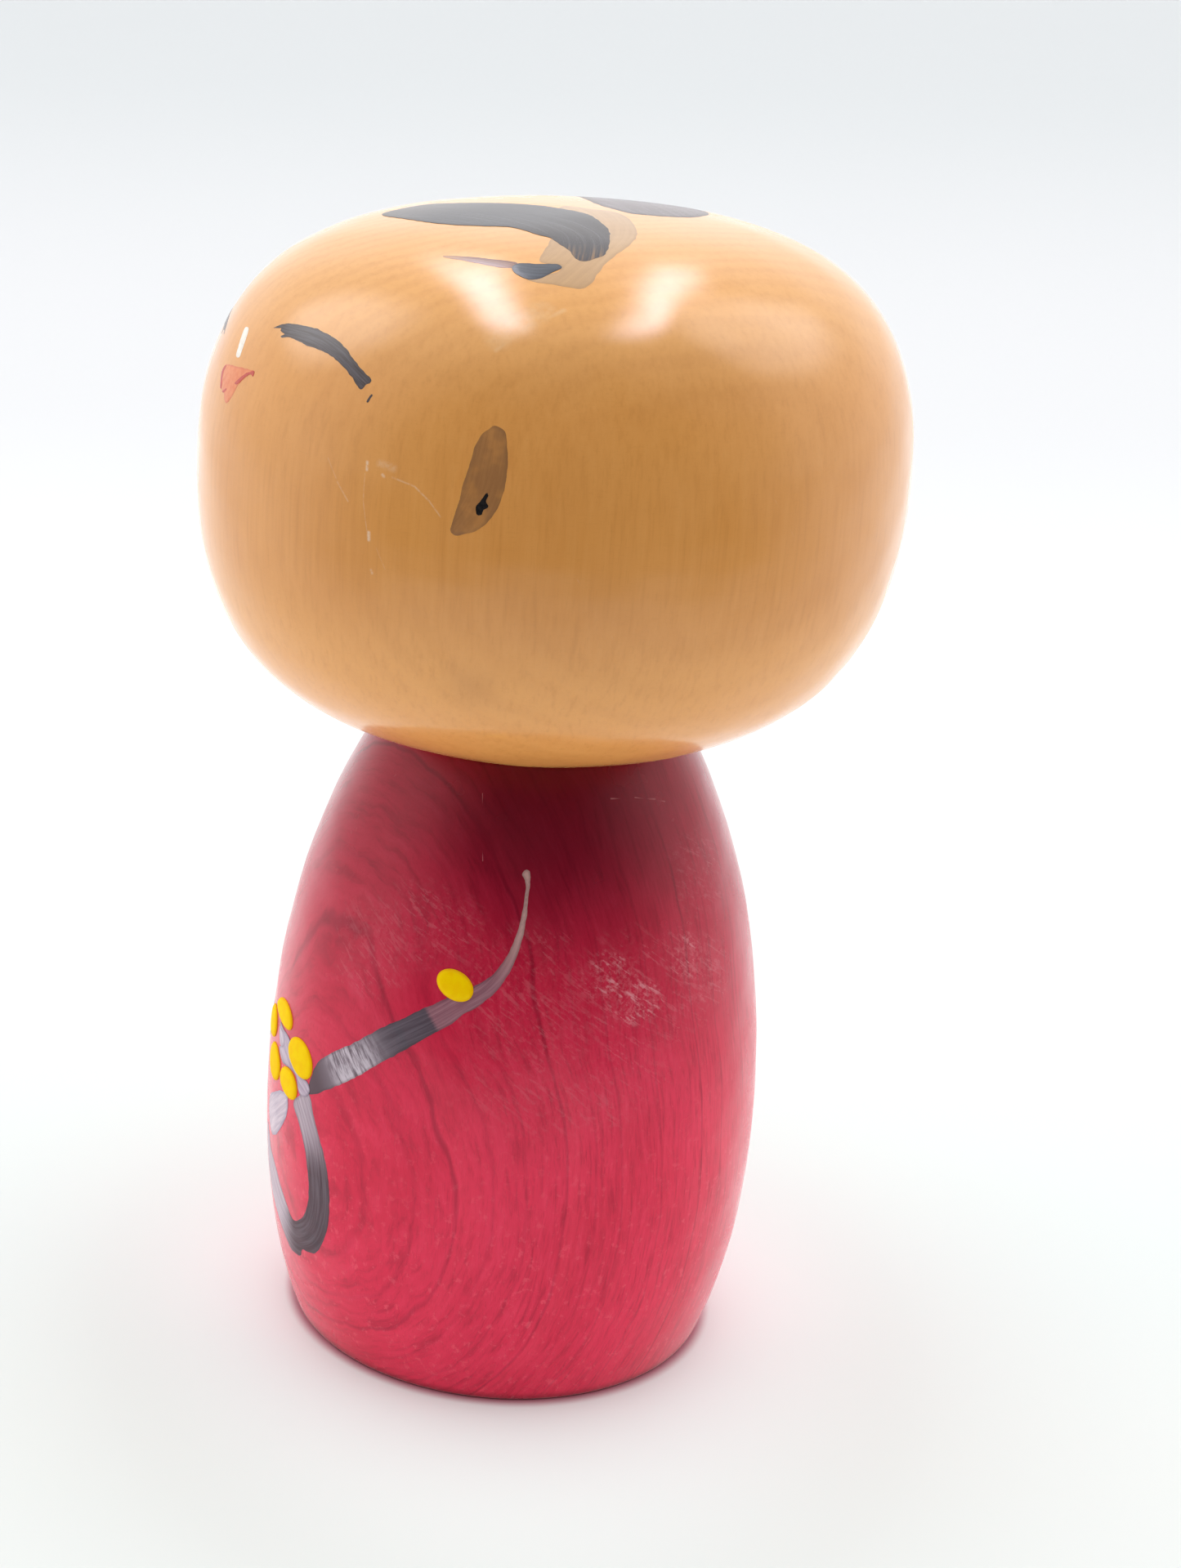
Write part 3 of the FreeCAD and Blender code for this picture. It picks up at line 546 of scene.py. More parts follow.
PETALS = [[(-100.65, 32.75), (-95.46, 34.98), (-90.32, 36.58),
           (-86.84, 36.94), (-85.94, 35.37), (-86.81, 33.49),
           (-89.91, 30.95), (-94.5, 28.66), (-97.33, 28.3),
           (-100.53, 29.85)],
          [(-96.18, 44.61), (-93.87, 44.77), (-91.67, 44.12),
           (-91.38, 43.13), (-92.63, 42.42), (-94.57, 42.57)]]
KNOT = [(-95.93, 45.3), (-92.28, 45.03), (-88.3, 44.71), (-86.61, 43.17),
        (-84.04, 42.17), (-80.6, 41.39), (-77.71, 41.22), (-76.41, 40.33),
        (-78.03, 39.01), (-80.67, 38.93), (-82.99, 40.77), (-86.58, 41.04),
        (-91.34, 40.67), (-94.71, 41.92), (-91.8, 43.01), (-91.76, 44.26),
        (-95.37, 44.67)]
DOTS = [[(-89.04, 45.91), (-90.36, 45.65), (-92.1, 45.55), (-94.14, 45.61),
         (-96.32, 45.8), (-98.36, 46.11), (-99.91, 46.52), (-100.56, 47.04),
         (-100.1, 47.65), (-98.68, 48.23), (-96.7, 48.67), (-94.51, 48.87),
         (-92.4, 48.82), (-90.58, 48.52), (-89.18, 48.05), (-88.29, 47.47),
         (-87.97, 46.88), (-88.22, 46.34)],
        [(-78.0, 41.61), (-79.53, 41.26), (-81.41, 41.18), (-83.45, 41.37),
         (-85.41, 41.82), (-87.04, 42.46), (-88.05, 43.26), (-88.25, 44.13),
         (-87.59, 44.96), (-86.21, 45.65), (-84.34, 46.08), (-82.28, 46.2),
         (-80.29, 45.98), (-78.57, 45.46), (-77.29, 44.72), (-76.57, 43.86),
         (-76.45, 42.98), (-76.94, 42.2)],
        [(-83.21, 37.24), (-84.55, 36.93), (-86.17, 36.82), (-87.92, 36.93),
         (-89.6, 37.24), (-90.95, 37.73), (-91.75, 38.36), (-91.82, 39.06),
         (-91.16, 39.77), (-89.9, 40.36), (-88.27, 40.75), (-86.52, 40.89),
         (-84.85, 40.75), (-83.43, 40.36), (-82.4, 39.78), (-81.85, 39.09),
         (-81.8, 38.39), (-82.26, 37.75)],
        oval(-97.4, 39.1, 2.75, 2.5, 0.0, seed=3),
        oval(-103.4, 43.6, 2.7, 2.15, 8.0, seed=4),
        [(-35.14, 59.71), (-35.97, 59.24), (-37.21, 58.97), (-38.71, 58.92),
         (-40.29, 59.1), (-41.79, 59.48), (-43.01, 60.02), (-43.81, 60.66),
         (-44.07, 61.33), (-43.76, 61.95), (-42.9, 62.43), (-41.61, 62.73),
         (-40.05, 62.79), (-38.42, 62.61), (-36.92, 62.22), (-35.74, 61.65),
         (-35.0, 60.99), (-34.8, 60.32)],
        oval(-131.0, 42.6, 2.2, 1.9, -20.0, seed=6)]

H, B = "doll_head", "doll_body"
EYE_R = mirrored(EYE, shift=-4.0, lower=2.0)
EYE_R = [(a, z - 0.065 * (a + 128.0)) for a, z in EYE_R]
EYE_R_LINE = mirrored(EYE_LINE, shift=-4.0, lower=2.0)
EYE_R_LINE = [(a, z - 0.065 * (a + 128.0)) for a, z in EYE_R_LINE]
film_specs = {
    "paint_eye_left": film("paint_eye_left", HEAD, "side", [EYE, TICK], H,
                           "eye_left", spacing=0.3, ragged=0.05,
                           spine=[EYE_LINE, [(-54.0, 136.2), (-54.9, 134.6)]],
                           seed=11),
    "paint_eye_right": film("paint_eye_right", HEAD, "side", [EYE_R], H,
                            "eye_right", spacing=0.3,
                            ragged=0.05, seed=12,
                            spine=EYE_R_LINE),
    "paint_nose": film("paint_nose", HEAD, "side", [NOSE], H, "nose_line",
                       spacing=0.22, ragged=0.015, high=0.04,
                       seed=13),
    "paint_mouth": film("paint_mouth", HEAD, "side", [MOUTH], H, "mouth",
                        spacing=0.25, ragged=0.03, seed=14),
    "paint_lip_lines": film("paint_lip_lines", HEAD, "side", LIPS, H,
                            "lip_lines", spacing=0.18,
                            ragged=0.015, under=0.03, seed=15),
    "paint_ear_left": film("paint_ear_left", HEAD, "side", [EAR], H,
                           "ear_left", spacing=0.35, seed=16,
                           spine=EAR_LINE, ragged=0.05),
    "paint_ear_right": film("paint_ear_right", HEAD, "side",
                            [mirrored(EAR)], H, "ear_right",
                            spacing=0.35, seed=17, ragged=0.05,
                            spine=mirrored(EAR_LINE)),
    "paint_ear_spots": film("paint_ear_spots", HEAD, "side",
                            [EAR_SPOT, mirrored(EAR_SPOT)], H, "ear_spots",
                            spacing=0.2, ragged=0.03,
                            under=0.034, high=0.03, seed=18),
    "paint_hair_wash": film("paint_hair_wash", HEAD, "crown", [WASH], H,
                            "hair_wash", ragged=0.05, seed=19,
                            spine=WASH_LINE),
    "paint_hair_fringe": film("paint_hair_fringe", HEAD, "crown", [FRINGE], H,
                              "hair_fringe", ragged=0.07,
                              under=0.032, seed=20, spine=FRINGE_LINE),
    "paint_hair_lock": film("paint_hair_lock", HEAD, "crown", [LOCK], H,
                            "hair_lock", spacing=0.3, seed=21,
                            under=0.032, spine=[(20.4, -15.8), (22.4, -13.6),
                                              (23.4, -10.6)]),
    "paint_hair_tail": film("paint_hair_tail", HEAD, "crown", [TAIL], H,
                            "hair_lock_tail", spacing=0.3,
                            seed=22, ragged=0.04,
                            spine=[(13.0, -22.2), (17.5, -18.3),
                                   (21.3, -15.2)]),
    "paint_hair_back": film("paint_hair_back", HEAD, "crown", [NAPE], H,
                            "hair_back", seed=23,
                            ragged=0.06, spine=NAPE_LINE),
    "paint_stroke_left": film("paint_stroke_left", BODY, "side", [LONG], B,
                              "ink_stroke_left", seed=24,
                              ragged=0.05, spine=LONG_LINE, spacing=0.36),
    "paint_stroke_right": film("paint_stroke_right", BODY, "side", [SHORT], B,
                               "ink_stroke_right", seed=25,
                               ragged=0.05, spine=SHORT_LINE),
    "paint_loop": film("paint_loop", BODY, "side", [LOOP], B, "ink_loop",
                       seed=26, ragged=0.045, spine=LOOP_LINE,
                       spacing=0.36),
    "paint_petals": film("paint_petals", BODY, "side", PETALS, B,
                         "white_petals", seed=27, under=0.03,
                         ragged=0.03, spacing=0.36),
    "paint_blossom_wash": film("paint_blossom_wash", BODY, "side", [KNOT], B,
                               "blossom_wash", seed=29,
                               under=0.055, ragged=0.03, spacing=0.32),
    "paint_dots": film("paint_dots", BODY, "side", DOTS, B, "blossom_dots",
                       seed=30, high=0.12, dome=0.20,
                       under=0.05,
                       ragged=0.0, spacing=0.3, ease=0.35),
}


# ================================================================== materials
class Net:
    """A small hand for writing node materials."""

    def __init__(self, tree):
        self.t = tree
        tree.nodes.clear()

    def node(self, kind, **props):
        n = self.t.nodes.new(kind)
        for k_, v in props.items():
            setattr(n, k_, v)
        return n

    def put(self, socket, value):
        if value is None:
            return
        if isinstance(value, bpy.types.NodeSocket):
            self.t.links.new(value, socket)
        elif isinstance(value, (tuple, list)) and len(value) == 3 and \
                socket.type == "RGBA":
            socket.default_value = (*value, 1.0)
        else:
            socket.default_value = value

    def m(self, op, a, b=None, c=None, clamp=False):
        n = self.node("ShaderNodeMath", operation=op, use_clamp=clamp)
        for s_, v in zip(n.inputs, (a, b, c)):
            self.put(s_, v)
        return n.outputs[0]

    def add(self, a, b):
        return self.m("ADD", a, b)

    def sub(self, a, b):
        return self.m("SUBTRACT", a, b)

    def mul(self, a, b):
        return self.m("MULTIPLY", a, b)

    def v(self, op, a, b=None, scale=None):
        n = self.node("ShaderNodeVectorMath", operation=op)
        self.put(n.inputs[0], a)
        self.put(n.inputs[1], b)
        if scale is not None:
            self.put(n.inputs[3], scale)
        return n.outputs[1] if op in ("LENGTH", "DOT_PRODUCT", "DISTANCE") \
            else n.outputs[0]

    def comb(self, x, y, z):
        n = self.node("ShaderNodeCombineXYZ")
        for s_, q in zip(n.inputs, (x, y, z)):
            self.put(s_, q)
        return n.outputs[0]

    def sep(self, vec):
        n = self.node("ShaderNodeSeparateXYZ")
        self.put(n.inputs[0], vec)
        return n.outputs[0], n.outputs[1], n.outputs[2]

    def noise(self, vec, scale=1.0, detail=2.0, rough=0.5, warp=0.0):
        n = self.node("ShaderNodeTexNoise")
        self.put(n.inputs["Vector"], vec)
        self.put(n.inputs["Scale"], scale)
        self.put(n.inputs["Detail"], detail)
        self.put(n.inputs["Roughness"], rough)
        self.put(n.inputs["Distortion"], warp)
        return n.outputs[0]

    def voronoi(self, vec, scale=1.0, feature="F1"):
        n = self.node("ShaderNodeTexVoronoi", feature=feature)
        self.put(n.inputs["Vector"], vec)
        self.put(n.inputs["Scale"], scale)
        return n.outputs["Distance"]

    def ramp(self, fac, stops, smooth="LINEAR"):
        n = self.node("ShaderNodeValToRGB")
        n.color_ramp.interpolation = smooth
        el = n.color_ramp.elements
        while len(el) > 1:
            el.remove(el[-1])
        for i, (pos, col) in enumerate(stops):
            e = el[0] if i == 0 else el.new(pos)
            e.position = pos
            if not isinstance(col, (tuple, list)):
                col = (col, col, col)
            e.color = (*col, 1.0)
        self.put(n.inputs[0], fac)
        return n.outputs[0]

    def step(self, x, lo, hi, to0=0.0, to1=1.0):
        n = self.node("ShaderNodeMapRange", interpolation_type="SMOOTHSTEP",
                      clamp=True)
        for s_, q in zip(n.inputs, (x, lo, hi, to0, to1)):
            self.put(s_, q)
        return n.outputs[0]

    def mix(self, fac, a, b, blend="MIX"):
        n = self.node("ShaderNodeMix", data_type="RGBA", blend_type=blend,
                      clamp_factor=True)
        self.put(n.inputs[0], fac)
        self.put(n.inputs[6], a)
        self.put(n.inputs[7], b)
        return n.outputs[2]

    def attr(self, name):
        return self.node("ShaderNodeAttribute",
                         attribute_name=name).outputs["Fac"]

    def point(self):
        """Place on the doll, in millimetres, moving with its body."""
        c = self.node("ShaderNodeTexCoord").outputs["Object"]
        return self.v("SCALE", c, scale=1000.0)


def srgb(r, g, b):
    """A linear colour from 0-255 screen values."""
    out_ = []
    for c in (r, g, b):
        c = c / 255.0
        out_.append(c / 12.92 if c <= 0.04045 else ((c + 0.055) / 1.055)
                    ** 2.4)
    return tuple(out_)


def surface(net, color, rough=0.5, coat=0.0, coat_rough=0.1, bump=None,
            bump_dist=0.02, coat_bump=None, spec=0.5, coat_tint=None,
            sheen=None):
    out_ = net.node("ShaderNodeOutputMaterial")
    b = net.node("ShaderNodeBsdfPrincipled")
    net.put(b.inputs["Base Color"], color)
    net.put(b.inputs["Roughness"], rough)
    net.put(b.inputs["Coat Weight"], coat)
    net.put(b.inputs["Coat Roughness"], coat_rough)
    net.put(b.inputs["Specular IOR Level"], spec)
    if coat_tint is not None:
        net.put(b.inputs["Coat Tint"], coat_tint)
    if bump is not None:
        n = net.node("ShaderNodeBump")
        net.put(n.inputs["Strength"], 1.0)
        net.put(n.inputs["Distance"], bump_dist * 0.001)
        net.put(n.inputs["Height"], bump)
        net.put(b.inputs["Normal"], n.outputs[0])
        if coat_bump:
            n2 = net.node("ShaderNodeBump")
            net.put(n2.inputs["Strength"], 1.0)
            net.put(n2.inputs["Distance"], bump_dist * coat_bump * 0.001)
            net.put(n2.inputs["Height"], bump)
            net.put(b.inputs["Coat Normal"], n2.outputs[0])
    net.t.links.new(b.outputs[0], out_.inputs[0])
    return b


def stroke_segment(net, p, a, b, width):
    """A hairline scratch from a to b (mm), as a 0-1 mask."""
    a, b = np.array(a, float), np.array(b, float)
    ab = b - a
    pa = net.v("SUBTRACT", p, tuple(a))
    t = net.m("DIVIDE", net.v("DOT_PRODUCT", pa, tuple(ab)),
              float(ab @ ab), clamp=True)
    near = net.v("SCALE", tuple(ab), scale=t)
    d = net.v("LENGTH", net.v("SUBTRACT", pa, near))
    return net.step(d, width, 0.0)


def on_head(az, z):
    return HEAD.at(np.radians(np.array([az])),
                   HEAD.s_of_z(np.array([z])), np.zeros(1))[0]


def on_body(az, z):
    return BODY.at(np.radians(np.array([az])),
                   BODY.s_of_z(np.array([z])), np.zeros(1))[0]


def head_wood(net, p):
    """Varnished pale wood: grain runs up the axis, growth rings show as soft
    sweeping bands on the crown; painted light makes the crown paler and the
    lower head lighter. Gives colour and a height for fine relief."""
    x, y, z = net.sep(p)
    warp = net.noise(net.v("MULTIPLY", p, (0.035, 0.035, 0.012)), 1.0, 3.0)
    cx = net.sub(x, net.sub(-38.8, net.mul(z, 0.1)))
    cy = net.add(y, 3.9)
    d = net.m("SQRT", net.add(net.mul(cx, cx), net.mul(cy, cy)))
    d = net.add(d, net.mul(net.sub(warp, 0.5), 7.0))
    turns = net.m("DIVIDE", net.sub(d, 82.3), 2.35)
    wave = net.m("SINE", net.mul(turns, 2 * math.pi))
    late = net.step(wave, -0.6, 1.0)
    slow = net.step(net.m("SINE", net.mul(turns, 1.37)), -0.8, 1.0)
    fade = net.noise(net.v("MULTIPLY", p, (0.05, 0.05, 0.02)), 1.0, 2.0)
    fade = net.step(fade, 0.35, 0.7)
    fibre = net.noise(net.v("MULTIPLY", p, (1.25, 1.25, 0.05)), 1.0, 4.0,
                      0.6)
    fine = net.noise(net.v("MULTIPLY", p, (5.0, 5.0, 0.35)), 1.0, 3.0, 0.6)
    sand = net.noise(net.v("MULTIPLY", p, (0.9, 0.9, 7.0)), 1.0, 3.0, 0.6)
    blotch = net.noise(net.v("MULTIPLY", p, (0.045, 0.045, 0.05)), 1.0, 3.0,
                       0.55)
    base = net.mix(net.step(blotch, 0.3, 0.7), HEAD_A, HEAD_B)
    crown = net.step(z, 132.0, 147.0)
    # painted light: the crown is mixed towards a paler colour, standing for the
    # strong light from above on the top of the head
    base = net.mix(net.mul(net.step(z, 134.0, 146.0), 0.50), base,
                   (0.79, 0.42, 0.130))
    # painted light: a lighter, warmer colour on the lower head, standing for
    # light bounced up onto it
    base = net.mix(net.mul(net.step(z, 114.0, 103.0),
                           net.step(z, 89.0, 98.0, 0.35, 0.80)), base,
                   (0.90, 0.44, 0.128))
    ring_amount = net.add(net.add(0.025, net.mul(fade, 0.05)),
                          net.mul(crown, 0.085))
    base = net.mix(net.mul(late, ring_amount), base, (0.50, 0.175, 0.030))
    base = net.mix(net.mul(slow, 0.12), base, (0.90, 0.44, 0.12))
    base = net.mix(net.mul(net.step(fibre, 0.48, 0.74), 0.17), base,
                   (0.50, 0.185, 0.035))
    base = net.mix(net.mul(net.step(fibre, 0.52, 0.26), 0.15), base,
                   (0.92, 0.46, 0.14))
    base = net.mix(net.mul(net.step(fine, 0.52, 0.78), 0.12), base,
                   (0.45, 0.17, 0.035))
    base = net.mix(net.mul(net.step(sand, 0.50, 0.80), 0.10), base,
                   (0.46, 0.175, 0.035))
    height = net.add(net.mul(fibre, 0.6), net.mul(fine, 0.4))
    return base, height


HEAD_A, HEAD_B = (0.755, 0.322, 0.070), (0.810, 0.362, 0.094)


def body_wood(net, p):
    """Crimson-stained wood: thin dark growth lines in nested ovals, fine
    fibre streaks; painted shade darkens it towards the neck, on the upper front
    below the head and along the foot edge."""
    x, y, z = net.sep(p)
    warp = net.noise(net.v("MULTIPLY", p, (0.03, 0.03, 0.022)), 1.0, 2.0)
    warp2 = net.noise(net.v("MULTIPLY", p, (0.25, 0.25, 0.06)), 1.0, 2.0)
    cx, cy = net.add(x, 15.5), net.sub(y, 57.96)
    d = net.m("SQRT", net.add(net.mul(cx, cx), net.mul(cy, cy)))
    d = net.add(d, net.mul(net.sub(warp, 0.5), 3.4))
    d = net.add(d, net.mul(net.sub(warp2, 0.5), 0.9))
    bow = net.m("POWER", net.m("DIVIDE", net.sub(z, 32.0), 30.0), 2.0)
    d = net.sub(d, net.mul(net.mul(bow, 2.6), net.step(z, 68.0, 50.0)))
    thin, pale = None, None
    for d0, amount in ((92.6, 0.5), (90.7, 0.4), (88.7, 1.0), (86.4, 0.35),
                       (84.0, 0.3), (80.4, 1.0), (77.6, 0.3), (74.7, 0.55),
                       (69.6, 0.5), (63.2, 0.9), (58.8, 0.5), (52.6, 0.8),
                       (47.3, 0.5), (41.5, 0.9), (36.0, 0.6), (30.4, 0.8)):
        off = net.sub(d, d0)
        one = net.mul(net.step(net.m("ABSOLUTE", off), 0.24, 0.02), amount)
        soft = net.mul(net.mul(net.step(off, -2.6, -0.5),
                               net.step(off, 0.0, -0.3)), amount)
        thin = one if thin is None else net.m("MAXIMUM", thin, one)
        pale = soft if pale is None else net.m("MAXIMUM", pale, soft)
    broken = net.noise(net.v("MULTIPLY", p, (0.12, 0.12, 0.05)), 1.0, 2.0)
    thin = net.mul(thin, net.step(broken, 0.30, 0.62, 0.35, 1.0))
    flow = net.comb(net.mul(d, 2.1), net.mul(z, 0.17),
                    net.mul(net.add(x, y), 0.10))
    fibre = net.noise(flow, 1.0, 5.0, 0.66, 0.25)
    fine = net.noise(net.v("MULTIPLY", p, (6.5, 6.5, 0.5)), 1.0, 2.0, 0.6)
    cloud = net.noise(net.v("MULTIPLY", p, (0.06, 0.06, 0.05)), 1.0, 3.0)
    fleck = net.noise(net.v("MULTIPLY", p, (0.9, 0.9, 0.8)), 1.0, 3.0, 0.7)
    base = net.mix(net.step(cloud, 0.3, 0.7), (0.715, 0.015, 0.062),
                   (0.815, 0.026, 0.086))
    base = net.mix(net.mul(net.step(fibre, 0.47, 0.72), 0.56), base,
                   (0.40, 0.003, 0.030))
    base = net.mix(net.mul(net.step(fibre, 0.5, 0.27), 0.38), base,
                   (0.93, 0.055, 0.135))
    base = net.mix(net.mul(net.step(fine, 0.52, 0.72), 0.26), base,
                   (0.40, 0.004, 0.022))
    base = net.mix(net.mul(net.mul(net.step(fleck, 0.56, 0.70),
                                   net.step(z, 66.0, 6.0)), 0.40), base,
                   (0.97, 0.14, 0.20))
    base = net.mix(net.mul(pale, 0.16), base, (0.95, 0.06, 0.115))
    base = net.mix(net.mul(thin, 0.42), base, (0.22, 0.002, 0.020))
    # painted shade: darker towards the neck under the overhanging head, on the
    # upper front and along the very edge of the foot
    neck_shade = net.ramp(net.m("DIVIDE", z, 90.0),
                    [(0.0, 1.0), (0.40, 1.0), (0.545, 0.88), (0.68, 0.72),
                     (0.78, 0.60), (0.88, 0.52), (1.0, 0.45)])
    tone = net.mix(1.0, base, neck_shade, "MULTIPLY")
    # painted shade: a near-black patch on the upper body just below the head,
    # on the side toward the camera
    front_shade = net.v("MULTIPLY", net.v("SUBTRACT", p, (22.5, -5.5, 82.0)),
                 (0.8, 0.8, 1.0))
    front_shade = net.add(net.v("LENGTH", front_shade), net.mul(net.sub(cloud, 0.5), 9.0))
    tone = net.mix(net.step(front_shade, 20.0, 4.0, 0.0, 0.72), tone,
                   (0.10, 0.001, 0.011))
    # painted shade: a dark band along the very edge of the foot, where it meets
    # the floor
    base = net.mix(net.step(z, 1.8, 0.3, 0.0, 0.62), tone,
                   (0.22, 0.004, 0.018))
    # bare turned wood under the foot
    r = net.m("SQRT", net.add(net.mul(x, x), net.mul(y, y)))
    under = net.mul(net.step(z, 0.5, 0.3), net.step(r, 28.4, 27.8))
    raw = net.mix(net.step(fine, 0.35, 0.7), (0.62, 0.40, 0.21),
                  (0.45, 0.27, 0.13))
    rough_edge = net.noise(net.v("MULTIPLY", p, (0.4, 0.4, 0.4)), 1.0, 3.0)
    under = net.mul(under, net.step(net.add(r, net.mul(
        net.sub(rough_edge, 0.5), 5.0)), 27.6, 26.6))
    base = net.mix(under, base, raw)
    height = net.add(net.mul(fibre, 0.5), net.mul(fine, 0.5))
    return base, height, under


def scuffs(net, p):
    """Whitish rub marks on the body: crossing fine strokes inside patches."""
    x, y, z = net.sep(p)
    az = net.m("ARCTAN2", y, x)
    u = net.mul(az, 32.0)                      # mm round the girth
    total = None
    # centre azimuth deg, height, half width mm, half height mm, lean, amount
    patches = [(-2.0, 62.6, 5.0, 3.6, -34.0, 0.95),
               (4.5, 58.6, 5.5, 3.4, -38.0, 1.0),
               (21.0, 62.8, 4.2, 3.4, -40.0, 0.95),
               (28.5, 60.0, 6.0, 6.0, -34.0, 0.40),
               (8.0, 60.0, 15.0, 9.0, -36.0, 0.22),
               (-22.0, 60.0, 12.0, 11.0, -38.0, 0.19),
               (-50.0, 67.0, 11.0, 6.5, -22.0, 0.22),
               (-63.0, 63.0, 8.0, 8.0, -30.0, 0.22),
               (-12.0, 50.0, 16.0, 9.0, -40.0, 0.16),
               (32.0, 72.0, 9.0, 7.0, -28.0, 0.20)]
    for i, (a, h, w, t, lean, amount) in enumerate(patches):
        du = net.sub(u, math.radians(a) * 32.0)
        dz = net.sub(z, h)
        e = net.add(net.m("POWER", net.m("DIVIDE", du, w), 2.0),
                    net.m("POWER", net.m("DIVIDE", dz, t), 2.0))
        blot = net.noise(net.v("ADD", p, (i * 7.0, 0.0, 0.0)), 0.22, 3.0)
        area = net.step(net.add(e, net.mul(net.sub(blot, 0.5), 1.5)), 1.1,
                        0.1)
        c, s = math.cos(math.radians(lean)), math.sin(math.radians(lean))
        q = net.comb(net.mul(net.add(net.mul(du, c), net.mul(dz, s)), 0.27),
                     net.mul(net.sub(net.mul(dz, c), net.mul(du, s)), 1.7),
                     float(i * 3.1))
        lines = net.noise(q, 1.0, 4.0, 0.66, 0.45)
        grit = net.noise(p, 1.6, 3.0, 0.7)
        mask = net.step(net.mul(lines, net.add(0.66, net.mul(grit, 0.68))),
                        0.50, 0.66)
        haze = net.mul(net.step(grit, 0.38, 0.72), 0.36)
        one = net.mul(net.mul(net.m("MAXIMUM", mask, haze), area), amount)
        total = one if total is None else net.m("MAXIMUM", total, one)
    for a, b, w in [((3.0, 83.2), (20.0, 82.2), 0.16),
                    ((12.0, 82.9), (24.0, 81.6), 0.10),
                    ((-40.0, 83.5), (-36.5, 76.0), 0.07)]:
        pa, pb = on_body(*a), on_body(*b)
        total = net.m("MAXIMUM", total, net.mul(
            stroke_segment(net, p, pa, pb, w), 0.6))
    return total


def new_material(name):
    mat = bpy.data.materials.new(name)
    mat.use_nodes = True
    return mat, Net(mat.node_tree)


def give(ob, mat):
    ob.data.materials.clear()
    ob.data.materials.append(mat)


HEAD_COAT = dict(rough=0.55, coat=1.0, coat_rough=0.13, spec=0.25)
BODY_COAT = dict(rough=0.55, coat=0.85, coat_rough=0.22, spec=0.25)

# ---- head
mat, n = new_material("varnished_wood")
p = n.point()
col, height = head_wood(n, p)
lines = None
SCRATCHES = [((-52.75, 128.7), (-52.65, 127.9), 0.24, 0.85),
             ((-52.9, 127.4), (-52.75, 124.4), 0.10, 0.30),
             ((-52.75, 124.4), (-51.8, 120.8), 0.09, 0.35),
             ((-51.55, 120.9), (-51.45, 120.1), 0.28, 1.0),
             ((-50.6, 128.8), (-48.3, 128.5), 0.55, 0.30),
             ((-50.0, 127.65), (-49.7, 127.45), 0.22, 0.65),
             ((-48.3, 127.5), (-44.7, 126.9), 0.13, 0.40),
             ((-44.7, 126.9), (-42.2, 125.5), 0.13, 0.55),
             ((-42.2, 125.5), (-40.3, 123.9), 0.11, 0.45),
             ((-57.6, 125.9), (-55.4, 124.0), 0.13, 0.35),
             ((-59.8, 128.3), (-57.9, 126.3), 0.08, 0.25),
             ((-50.95, 116.6), (-50.8, 116.3), 0.22, 0.6),
             ((-50.2, 119.3), (-48.6, 117.0), 0.07, 0.22),
             ((-20.0, 118.0), (-14.0, 111.0), 0.06, 0.14),
             ((10.0, 126.0), (14.0, 121.5), 0.06, 0.14)]
for a, b, w, k_ in SCRATCHES:
    one = n.mul(stroke_segment(n, p, on_head(*a), on_head(*b), w * 1.25),
                k_ * 0.75)
    lines = one if lines is None else n.m("MAXIMUM", lines, one)
worn = n.step(n.noise(p, 2.6, 3.0, 0.7), 0.34, 0.58, 0.25, 1.0)
col = n.mix(n.mul(lines, worn), col, (0.93, 0.74, 0.55))
# a painted reflection: a pale glint on a flat facet high on the temple, beside
# the ceiling highlight, edged by one fine pale line
glint_edge = stroke_segment(n, p, on_head(-35.2, 141.5), on_head(-24.3, 145.4),
                       0.5)
facet_glint = stroke_segment(n, p, on_head(-35.2, 142.6), on_head(-28.5, 145.2),
                        2.6)
facet_glint = n.mul(n.step(facet_glint, 0.0, 1.0),
               n.step(n.noise(p, 0.9, 3.0, 0.6), 0.30, 0.66, 0.06, 0.26))
col = n.mix(n.m("MAXIMUM", n.mul(glint_edge, 0.30), facet_glint), col,
            (0.90, 0.64, 0.38))
# a small pin knot low on the cheek
knot = n.v("DISTANCE", p, tuple(on_head(-35.0, 103.6)))
col = n.mix(n.mul(n.step(knot, 5.0, 0.2), 0.20), col, (0.42, 0.17, 0.05))
smear = n.noise(p, 0.12, 3.0, 0.6)
crough = n.add(0.13, n.mul(n.step(smear, 0.35, 0.75), 0.08))
surface(n, col, rough=0.6, coat=1.0, coat_rough=crough, bump=height,
        bump_dist=0.010, coat_bump=0.30, spec=0.0)
give(head, mat)

# ---- body
mat, n = new_material("crimson_stain")
p = n.point()
col, height, bare = body_wood(n, p)
rub = scuffs(n, p)
col = n.mix(n.mul(rub, 0.60), col, (0.80, 0.38, 0.42))
facing = n.node("ShaderNodeLayerWeight").outputs["Facing"]
coat = n.mul(n.sub(1.0, n.mul(bare, 0.9)), n.step(facing, 0.35, 0.80, 0.55,
                                                  1.0))
smear = n.noise(p, 0.10, 3.0, 0.6)
crough = n.add(n.add(0.20, n.mul(n.step(smear, 0.35, 0.75), 0.10)),
               n.mul(rub, 0.25))
surface(n, col, rough=0.6, coat=coat, coat_rough=crough, bump=height,
        bump_dist=0.018, coat_bump=0.45, spec=0.0)
give(body, mat)

